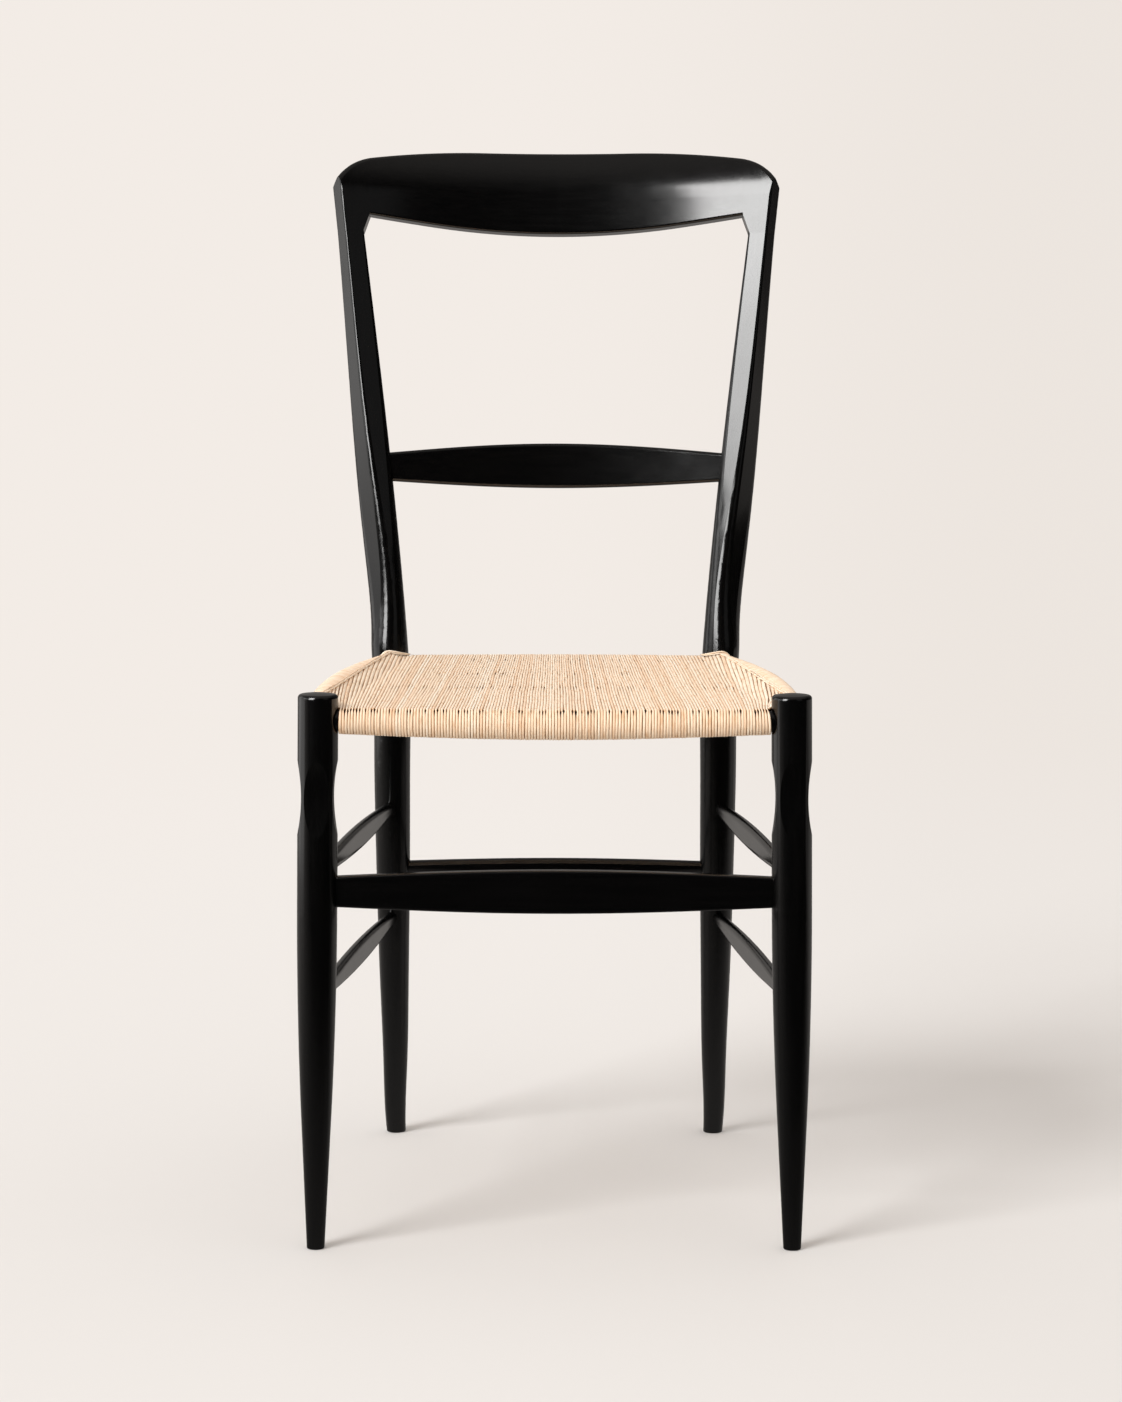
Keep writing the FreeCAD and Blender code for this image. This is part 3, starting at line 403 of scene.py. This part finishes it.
LACQUER_TONES = [(0.30, (0.0010, 0.0010, 0.0011)), (0.70, (0.0019, 0.0018, 0.0018))]
LACQUER_ROUGHNESS = (0.12, 0.20)
LACQUER_BUMP = {"Strength": 0.005, "Distance": 0.0004}
LACQUER_IOR = 1.5
GRAIN_ACROSS = 420.0                # streaks per metre
GRAIN_ALONG = 14.0
CLOUD_SCALE = 30.0
CLOUD_SHARE = 0.65                  # of the unevenness, the rest being streaks
SPECK_SCALE = 1100.0
SPECK_SHARE = 0.4                   # of the relief

CANE_TONES = [(0.0, srgb(246, 221, 195)), (0.25, srgb(250, 231, 209)),
              (0.8, srgb(252, 236, 216)), (1.0, srgb(253, 242, 226))]
# Painted shade between the strands: each strand is darker towards its sides, by the place round it
CANE_FLANK_SHADE = [(0.0, srgb(186, 147, 108)), (0.08, srgb(222, 193, 160)), (0.145, (1, 1, 1)),
               (0.355, (1, 1, 1)), (0.42, srgb(222, 193, 160)), (0.50, srgb(186, 147, 108))]
# Painted shade: the cane of the side bands is darker than the same cane on top; each strand still has its own
# random tone
WEFT_SHADED_TONES = [(0.0, srgb(238, 212, 186)), (1.0, srgb(247, 231, 212))]
# Painted shade between the side strands, likewise darker towards the sides of each strand
WEFT_FLANK_SHADE = [(0.0, srgb(196, 160, 124)), (0.08, srgb(228, 204, 176)), (0.145, (1, 1, 1)),
               (0.355, (1, 1, 1)), (0.42, srgb(228, 204, 176)), (0.50, srgb(196, 160, 124))]
CANE_ROLL_SHADE = srgb(246, 240, 232)     # painted shade: the roll in front is darker than the top
CANE_ROLL_START = 6.0 * MM          # in front of the middle of the front rail
CANE_ROLL_FLANK_SHADE = 0.95             # share by which the painted shade on the strand sides darkens the roll once more
CANE_STAINS = [(0.30, srgb(234, 214, 192)), (0.45, (1, 1, 1))]
CANE_FIBRES = [(0.30, srgb(240, 228, 214)), (0.55, (1, 1, 1))]
CANE_MARKS = 0.8                    # share by which stains and fibres show
FIBRE_STRETCH = (120.0, 7.0, 1.0)
PATCH_STRETCH = (55.0, 0.5, 1.0)
CANE_BUMP = {"Strength": 0.25, "Distance": 0.0002}
CANE_ROUGHNESS = (0.40, 0.60)
CANE_SPECULAR = 0.12


def lacquer(name, grain_axis):
    """Satin black lacquer: the closed grain of the wood shows only as faint streaks along one axis."""
    material = bpy.data.materials.new(name)
    material.use_nodes = True
    n = Nodes(material.node_tree)
    place = n.add("ShaderNodeTexCoord").outputs["Object"]
    stretch = [GRAIN_ACROSS] * 3
    stretch[grain_axis] = GRAIN_ALONG
    streaks = n.noise(n.stretched(place, stretch), 1.0, 3.0)
    clouds = n.noise(place, CLOUD_SCALE, 4.0)
    specks = n.noise(place, SPECK_SCALE, 2.0)
    colour = n.ramp(streaks, LACQUER_TONES)
    uneven = n.mix(CLOUD_SHARE, streaks, clouds)
    relief = n.mix(SPECK_SHARE, streaks, specks)
    bump = n.add("ShaderNodeBump", {"Height": relief, **LACQUER_BUMP})
    roughness = n.span(uneven, *LACQUER_ROUGHNESS)
    shader = n.add("ShaderNodeBsdfPrincipled", {"Base Color": colour, "Roughness": roughness,
                                                "Normal": bump.outputs["Normal"], "IOR": LACQUER_IOR})
    n.add("ShaderNodeOutputMaterial", {"Surface": shader.outputs["BSDF"]})
    return material


def cane(name, tones, flanks):
    """Split cane: each strand has its own tone, fine fibres and patches along it, and painted shade on its
    sides and on the roll in front.
    """
    material = bpy.data.materials.new(name)
    material.use_nodes = True
    n = Nodes(material.node_tree)
    along = n.add("ShaderNodeUVMap", uv_map="along_strand").outputs["UV"]
    strand = n.add("ShaderNodeNewGeometry").outputs["Random Per Island"]
    fibres = n.noise(n.stretched(along, FIBRE_STRETCH), 1.0, 3.0)
    patches = n.noise(n.stretched(along, PATCH_STRETCH), 1.0, 2.0)
    around = n.add("ShaderNodeSeparateXYZ", {0: along}).outputs["Y"]
    tone = n.ramp(strand, tones)
    # Painted shade: the sides of each strand are darker, where shade falls between neighbouring strands
    flank_shade = n.ramp(around, flanks)
    stain = n.ramp(patches, CANE_STAINS)
    shade = n.ramp(fibres, CANE_FIBRES)
    place = n.add("ShaderNodeSeparateXYZ", {0: n.add("ShaderNodeNewGeometry").outputs["Position"]})
    front = middle_of("front_seat_rail").y
    # Painted shade on the roll in front: darker than the top, and the sides of its strands darken once more
    roll = n.span(place.outputs["Y"], 1.0, 0.0, start=front - CANE_ROLL_START, end=front)
    roll_shade = n.ramp(roll, [(0.0, (1, 1, 1)), (1.0, CANE_ROLL_SHADE)])
    colour = n.multiply(tone, flank_shade, 1.0)
    colour = n.multiply(n.multiply(colour, stain, CANE_MARKS), shade, CANE_MARKS)
    colour = n.multiply(n.multiply(colour, roll_shade, 1.0), flank_shade, n.product(roll, CANE_ROLL_FLANK_SHADE))
    bump = n.add("ShaderNodeBump", {"Height": fibres, **CANE_BUMP})
    shader = n.add("ShaderNodeBsdfPrincipled", {"Base Color": colour, "Normal": bump.outputs["Normal"],
                                                "Roughness": n.span(fibres, *CANE_ROUGHNESS),
                                                "Specular IOR Level": CANE_SPECULAR})
    n.add("ShaderNodeOutputMaterial", {"Surface": shader.outputs["BSDF"]})
    return material


# Woven seat

class CrossRail:
    """Centre line and radius of the front or back seat rail, from its solid's box."""

    def __init__(self, node, sag):
        low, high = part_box(node)
        self.y = (low[1] + high[1]) / 2
        self.half = high[0] - RAIL_TENON
        self.sag = sag
        self.end_z = low[2] + RAIL_MIDDLE_RADIUS + sag

    def at(self, x):
        """Height of the centre, and radius of the strands' own centre line round it."""
        swell = math.sin(math.pi * (x + self.half) / (2 * self.half))
        radius = CROSS_RAIL_END_RADIUS + (RAIL_MIDDLE_RADIUS - CROSS_RAIL_END_RADIUS) * swell
        return self.end_z - self.sag * swell, radius + CANE_GAP + CANE_THICKNESS / 2


class SideRail:
    """The same for the right side rail, which runs from the front leg to the post."""

    def __init__(self, front, back):
        leg_low, leg_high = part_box("front_leg_right")
        post_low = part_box("back_post_right")[0]
        self.leg = Vector((leg_low[0] + POST_RADIUS, front.y, leg_high[2] - SIDE_RAIL_FRONT_DROP))
        self.post = Vector((post_low[0] + POST_RADIUS, back.y, leg_high[2] - SIDE_RAIL_BACK_DROP))
        inset = (self.post - self.leg).normalized() * (POST_RADIUS - RAIL_ROOT)
        self.start = self.leg + inset
        self.end = self.post - inset

    def share(self, y):
        return min(max((y - self.start.y) / (self.end.y - self.start.y), 0.0), 1.0)

    def seam(self, y):
        """The seam between the two sets of strands follows the straight line under the rail's bow."""
        return self.start.lerp(self.end, self.share(y)).x

    def at(self, y):
        share = self.share(y)
        swell = math.sin(math.pi * share)
        bow = math.sin(math.pi * share ** SIDE_RAIL_LEAD)
        centre = self.start.lerp(self.end, share)
        radius = SIDE_RAIL_END_RADIUS + (RAIL_MIDDLE_RADIUS - SIDE_RAIL_END_RADIUS) * swell
        radius += CANE_GAP + CANE_THICKNESS / 2
        return centre.x + SIDE_RAIL_BOW * bow, centre.z + SIDE_RAIL_CROWN * bow, radius


class Seat:
    """The two faces of the woven seat, as heights of the strands' centre lines over a place x, y."""

    def __init__(self):
        self.front = CrossRail("front_seat_rail", FRONT_RAIL_SAG)
        self.back = CrossRail("back_seat_rail", BACK_RAIL_SAG)
        self.side = SideRail(self.front, self.back)
        self.front_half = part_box("front_leg_right")[0][0] - CANE_GAP
        self.back_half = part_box("back_post_right")[0][0] - CANE_GAP

    def depth(self, y):
        return (y - self.front.y) / (self.back.y - self.front.y)

    def edge(self, y):
        """Beyond this half width the strands climb to the side rail."""
        return self.front_half + (self.back_half - self.front_half) * self.depth(y)

    def flat(self, x, y, sense):
        depth = self.depth(y)
        share = min(max(x / self.edge(y), -1.0), 1.0)
        front_z, front_radius = self.front.at(share * self.front_half)
        back_z, back_radius = self.back.at(share * self.back_half)
        return front_z + (back_z - front_z) * depth + sense * max(front_radius, back_radius)

    def height(self, x, y, sense):
        """Upper face for sense 1, lower face for sense -1."""
        level = self.flat(x, y, sense)
        edge = self.edge(y)
        if abs(x) <= edge or y <= self.side.start.y:
            return level
        centre_x, centre_z, radius = self.side.at(y)
        away_x = edge - centre_x
        away_z = level - centre_z
        distance = math.hypot(away_x, away_z)
        angle = math.atan2(away_z, away_x) - sense * math.acos(radius / distance)
        touch_x = centre_x + radius * math.cos(angle)
        touch_z = centre_z + radius * math.sin(angle)
        if abs(x) < touch_x:
            return level + (touch_z - level) * (abs(x) - edge) / (touch_x - edge)
        rise = math.sqrt(max(radius ** 2 - (abs(x) - centre_x) ** 2, 0.0))
        return centre_z + sense * rise


class Strands:
    """Gathers closed strands into one mesh, with lengths along and around each strand as its map."""

    def __init__(self):
        self.vertices = []
        self.faces = []
        self.map = []

    def add(self, rings, start=0.0, closed=True, flanks=True):
        """Rings are a centre, a half-width vector and a half-height vector each."""
        count = len(rings)
        first = len(self.vertices)
        travel = [start]
        for (before, _, _), (after, _, _) in zip(rings, rings[1:] + rings[:1]):
            travel.append(travel[-1] + (after - before).length)
        for centre, across, out in rings:
            for sideways, outwards, _ in STRAND_PROFILE:
                self.vertices.append(centre + across * sideways + out * outwards)
        for i in range(count if closed else count - 1):
            this = first + i * STRAND_SIDES
            following = first + (i + 1) % count * STRAND_SIDES
            for side in range(STRAND_SIDES):
                turn = (side + 1) % STRAND_SIDES
                self.faces.append((this + side, this + turn, following + turn, following + side))
                # With shaded sides, the map runs round the strand so that its sides get the painted shade;
                # otherwise it stays on the top
                low = STRAND_PROFILE[side][2] if flanks else TOP_PLACE
                high = (STRAND_PROFILE[turn][2] if turn else 1.0) if flanks else TOP_PLACE
                self.map += [(travel[i], low), (travel[i], high), (travel[i + 1], high), (travel[i + 1], low)]
        if not closed:
            self.cap(first, travel[0], True)
            self.cap(first + (count - 1) * STRAND_SIDES, travel[count - 1], False)

    def cap(self, first, travel, reverse):
        ring = list(range(first, first + STRAND_SIDES))
        self.faces.append(tuple(reversed(ring)) if reverse else tuple(ring))
        self.map += [(travel, 0.0)] * STRAND_SIDES

    def piece(self, name, material):
        mesh = bpy.data.meshes.new(name)
        mesh.from_pydata(self.vertices, [], self.faces)
        layer = mesh.uv_layers.new(name="along_strand")
        layer.data.foreach_set("uv", [value for pair in self.map for value in pair])
        mesh.polygons.foreach_set("use_smooth", [True] * len(mesh.polygons))
        mesh.materials.append(material)
        mesh.update()
        piece = bpy.data.objects.new(name, mesh)
        bpy.context.scene.collection.objects.link(piece)
        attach(piece, "root")
        return piece


def wander(seed, place, reach, pitch):
    """A smooth sideways drift, the same on every run."""
    return reach * noise.noise(Vector((seed, place.y / pitch, place.z / pitch)))


class Warp:
    """Strands from front to back, round the front rail and the back rail.

    They draw together towards the back; the outermost ones run straight and end under the side seams.
    """

    def __init__(self, seat):
        self.seat = seat
        self.dice = random.Random(WARP_SEED)
        self.holes = [[self.hole(*row[1:]) for row in HOLE_ROWS] for _ in range(WARP_COUNT + 1)]

    def hole(self, length, chance, half_width):
        """How far the neighbours of a gap draw back from it at one row, and how far off the row that is."""
        opening = half_width * self.dice.uniform(*HOLE_SIZES) if self.dice.random() < chance else 0.0
        return opening, self.dice.uniform(-HOLE_SHIFT, HOLE_SHIFT) * length

    def x(self, share, y):
        depth = min(max(self.seat.depth(y), 0.0), 1.0)
        drawn_in = FAN_MIDDLE - FAN_EDGE * abs(share) ** 3
        x = share * self.seat.front_half * (1 - drawn_in * depth)
        corner = math.exp(-((y - self.seat.front.y - CORNER_TUCK_PLACE) / CORNER_TUCK_LENGTH) ** 2)
        near_leg = math.exp(-(1 - abs(share)) * self.seat.front_half / CORNER_TUCK_WIDTH)
        tuck = CORNER_TUCK[1] if share > 0 else -CORNER_TUCK[0]
        return x - tuck * corner * near_leg

    def end(self, share, start):
        """How far back a strand runs: to the back rail, to the seam or to the post in its way."""
        side = self.seat.side
        y = start
        while y < self.seat.back.y:
            x = abs(self.x(share, y))
            off_post = x - side.post.x
            if x > side.seam(y) - SEAM_ROOM:
                return y
            if abs(off_post) < POST_RADIUS:
                front_of_post = side.post.y - math.sqrt(POST_RADIUS ** 2 - off_post ** 2) - CANE_THICKNESS
                if y > front_of_post:
                    return y
            y += END_STEP
        return self.seat.back.y

    def stations(self, end):
        places = []
        for row, length, *_ in HOLE_ROWS:
            places += [row + offset * length for offset in HOLE_STATIONS]
        places += [share * RUN_LENGTH for share in RUN_STATIONS]
        first = self.seat.front.y
        last = end - STATION_ROOM
        return [first + place for place in sorted(places) if place >= 0.0 and first + place < last] + [end]

    def points(self, share, end):
        """Points of one loop: along the top, round the back, along the bottom and round the front."""
        seat = self.seat
        points = []
        for y in self.stations(end):
            x = self.x(share, y)
            points.append(Vector((x, y, seat.height(x, y, 1))))
        back_x = self.x(share, end)
        top = seat.height(back_x, end, 1)
        bottom = seat.height(back_x, end, -1)
        reach = (top - bottom) / 2 if end == seat.back.y else -2 * CANE_THICKNESS
        for step in range(1, BACK_TURN_STEPS):
            angle = math.pi * step / BACK_TURN_STEPS
            points.append(Vector((back_x, end + reach * math.sin(angle),
                                  (top + bottom) / 2 + (top - bottom) / 2 * math.cos(angle))))
        for step in range(BOTTOM_STEPS + 1):
            y = end + (seat.front.y - end) * step / BOTTOM_STEPS
            x = self.x(share, y)
            points.append(Vector((x, y, seat.height(x, y, -1))))
        front_x = share * seat.front_half
        top_x = self.x(share, seat.front.y)
        centre_z, radius = self.front_turn(front_x)
        for step in range(1, FRONT_TURN_STEPS):
            angle = math.pi * step / FRONT_TURN_STEPS
            x = front_x + (top_x - front_x) * (step / FRONT_TURN_STEPS) ** 3
            y = seat.front.y - radius * math.sin(angle)
            points.append(Vector((x, y, centre_z - radius * math.cos(angle))))
        return points

    def front_turn(self, x):
        top = self.seat.height(x, self.seat.front.y, 1)
        bottom = self.seat.height(x, self.seat.front.y, -1)
        return (top + bottom) / 2, (top - bottom) / 2

    def rings(self, strand):
        share = 2 * (strand + 0.5) / WARP_COUNT - 1
        half = 1.0 / WARP_COUNT
        end = self.end(share, self.seat.side.start.y)
        centres = self.points(share, end)
        lows = self.points(share - half, end)
        highs = self.points(share + half, end)
        count = len(centres)
        bulk = self.dice.uniform(*WARP_BULK)
        rings = []
        for i in range(count):
            along = (centres[(i + 1) % count] - centres[i - 1]).normalized()
            across = (highs[i] - lows[i]) / 2
            out = along.cross(across).normalized() * -1
            drift = wander(share * 5, centres[i], WARP_SWAY, WARP_SWAY_PITCH)
            drift += wander(strand * 7.3, centres[i], WARP_WOBBLE, WARP_WOBBLE_PITCH)
            rise = wander(strand * 3.7 + 50, centres[i], WARP_RIPPLE, WARP_RIPPLE_PITCH)
            low_side = self.opening(strand, centres[i])
            high_side = self.opening(strand + 1, centres[i])
            full = across.length * STRAND_FULLNESS
            width = max(full - (low_side + high_side) / 2, NARROWEST * full)
            sideways = across.normalized()
            centre = centres[i] + sideways * (drift + (low_side - high_side) / 2) + out * rise
            rings.append((centre, sideways * -width, out * STRAND_HALF * bulk))
        return rings

    def opening(self, gap, place):
        """Half width of the hole in one gap at a place on the upper face."""
        if place.z < self.seat.front.end_z:
            return 0.0
        total = 0.0
        for (row, length, *_), (opening, shift) in zip(HOLE_ROWS, self.holes[gap]):
            off = (place.y - self.seat.front.y - row - shift) / length
            total += opening * math.exp(-off * off)
        return total

    def behind_leg(self, sense, number):
        """One of the short strands that fill the corner between a front leg's back and the seam."""
        share = sense * (1 + 2 * (number + 0.5) / WARP_COUNT)
        leg = self.seat.side.leg
        off_leg = abs(self.x(share, leg.y)) - leg.x
        start = leg.y + math.sqrt(max(POST_RADIUS ** 2 - off_leg ** 2, 0.0)) + CANE_GAP
        end = self.end(share, start)
        rings = []
        for step in range(CORNER_STEPS + 1):
            y = start + (end - start) * step / CORNER_STEPS
            x = self.x(share, y)
            next_y = y + CANE_THICKNESS
            next_x = self.x(share, next_y)
            place = Vector((x, y, self.seat.height(x, y, 1)))
            along = Vector((next_x, next_y, self.seat.height(next_x, next_y, 1))) - place
            across = Vector((0, 0, 1)).cross(along).normalized()
            width = self.seat.front_half / WARP_COUNT * STRAND_FULLNESS
            out = along.normalized().cross(across)
            rings.append((place, across * width, out * STRAND_HALF))
        return rings

    def weave(self, strands):
        for strand in range(WARP_COUNT):
            strands.add(self.rings(strand), start=self.dice.uniform(*PATTERN_STARTS))
        for sense in (-1, 1):
            for number in range(CORNER_COUNT):
                rings = self.behind_leg(sense, number)
                strands.add(rings, start=self.dice.uniform(*PATTERN_STARTS), closed=False)


class Weft:
    """Strands from side to side: bare round the side rails, under the warp between the seams."""

    def __init__(self, seat):
        self.seat = seat
        self.dice = random.Random(WEFT_SEED)

    def points(self, y):
        """One loop in the plane of y, seen from the front, anticlockwise from the right."""
        seat = self.seat
        centre_x, centre_z, radius = seat.side.at(y)
        seam = seat.side.seam(y)
        turn = math.acos(max(min((seam - centre_x) / radius, 1.0), -1.0))
        right = []
        for step in range(SIDE_TURN_STEPS + 1):
            angle = -turn + 2 * turn * step / SIDE_TURN_STEPS
            right.append((centre_x + radius * math.cos(angle), centre_z + radius * math.sin(angle)))
        edge = seat.edge(y) - WEFT_DIP
        upper = [(x, seat.height(x, y, 1) - WEFT_DIP) for x in (seam - WEFT_DIP, (seam + edge) / 2, edge)]
        lower = [(x, seat.height(x, y, -1) + WEFT_DIP) for x in (edge, (seam + edge) / 2, seam - WEFT_DIP)]
        half = lower + right + upper
        other = [(-x, z) for x, z in reversed(half)]
        return [Vector((x, y, z)) for x, z in half + other]

    def rings(self, strand):
        side = self.seat.side
        first = side.start.y + RAIL_ROOT
        last = side.end.y - RAIL_ROOT
        pitch = (last - first) / WEFT_COUNT
        y = first + (strand + 0.5) * pitch
        points = self.points(y)
        bulk = self.dice.uniform(*WEFT_BULK)
        rings = []
        for i, point in enumerate(points):
            along = (points[(i + 1) % len(points)] - points[i - 1]).normalized()
            out = Vector((0, 1, 0)).cross(along)
            spot = Vector((strand * 5.1, point.x * WEFT_WOBBLE_RATE, point.z * WEFT_WOBBLE_RATE))
            centre = point + Vector((0, WEFT_WOBBLE * noise.noise(spot), 0))
            rings.append((centre, Vector((0, -pitch / 2 * STRAND_FULLNESS, 0)), out * STRAND_HALF * bulk))
        return rings

    def weave(self, strands):
        for strand in range(WEFT_COUNT):
            strands.add(self.rings(strand), start=self.dice.uniform(*PATTERN_STARTS))


class Edging:
    """Thin cords that finish the weave: along the side seams, and round the fronts of the back posts."""

    def __init__(self, seat):
        self.seat = seat
        self.dice = random.Random(EDGE_SEED)

    def cord(self, strands, points):
        rings = []
        for before, point, after in zip(points[:1] + points, points, points[1:] + points[-1:]):
            along = (after - before).normalized()
            across = Vector((0, 0, 1)).cross(along).normalized()
            rings.append((point, across * CORD_RADIUS, along.cross(across) * CORD_RADIUS))
        strands.add(rings, start=self.dice.uniform(*PATTERN_STARTS), closed=False, flanks=False)

    def on_top(self, x, y, lift):
        return self.seat.height(x, y, 1) + CANE_THICKNESS / 2 + lift

    def seam(self, sense, offset):
        """Points along one side's seam, from the front leg to the post."""
        rail = self.seat.side
        seed = self.dice.uniform(0, 100)
        points = []
        for step in range(SEAM_STEPS + 1):
            y = rail.start.y + (rail.end.y - rail.start.y) * step / SEAM_STEPS
            x = rail.seam(y) + offset + CORD_WANDER * noise.noise(Vector((seed, y / CORD_PITCH, 0)))
            points.append(Vector((sense * x, y, self.on_top(x, y, 0.0))))
        return points

    def lip(self, sense, lift):
        """Points round the front of one back post, from its outer side to its inner side."""
        centre = self.seat.side.post + POST_BEND
        radius = POST_RADIUS + CANE_GAP + CORD_RADIUS
        points = []
        for step in range(LIP_STEPS + 1):
            share = step / LIP_STEPS
            angle = math.radians(LIP_OUTER + (LIP_INNER - LIP_OUTER) * share)
            x = centre.x + radius * math.sin(angle)
            y = centre.y - radius * math.cos(angle)
            points.append(Vector((sense * x, y, self.on_top(x, y, lift * math.sin(math.pi * share)))))
        return points

    def weave(self, strands):
        for sense in (-1, 1):
            for offset in (-CORD_RADIUS, CORD_RADIUS):
                self.cord(strands, self.seam(sense, offset))
            for lift in (0.0, 2 * CORD_RADIUS):
                self.cord(strands, self.lip(sense, lift))


def weave_seat():
    material = cane("split_cane", CANE_TONES, CANE_FLANK_SHADE)
    side_material = cane("split_cane_sides", WEFT_SHADED_TONES, WEFT_FLANK_SHADE)
    seat = Seat()
    warp = Strands()
    Warp(seat).weave(warp)
    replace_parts(warp.piece("cane_warp_strands", material), "cane_warp")
    weft = Strands()
    Weft(seat).weave(weft)
    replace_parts(weft.piece("cane_weft_strands", side_material), "cane_weft")
    edging = Strands()
    Edging(seat).weave(edging)
    edging.piece("cane_edge_strands", material)


GRAIN_X = ("crest_rail", "back_slat", "front_stretcher", "back_stretcher",
           "front_seat_rail", "back_seat_rail")
GRAIN_Z = ("front_leg_left", "front_leg_right", "back_post_left", "back_post_right")


def finish_wood():
    along = [lacquer("black_lacquer_" + axis, i) for i, axis in enumerate("xyz")]
    for name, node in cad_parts.items():
        if name.startswith("cane"):
            continue
        material = along[0] if name in GRAIN_X else along[2] if name in GRAIN_Z else along[1]
        for slot in node.material_slots:
            slot.material = material


make_camera()
make_lights()
make_world()
make_floor()
finish_wood()
weave_seat()

bpy.context.scene.view_settings.view_transform = "Standard"
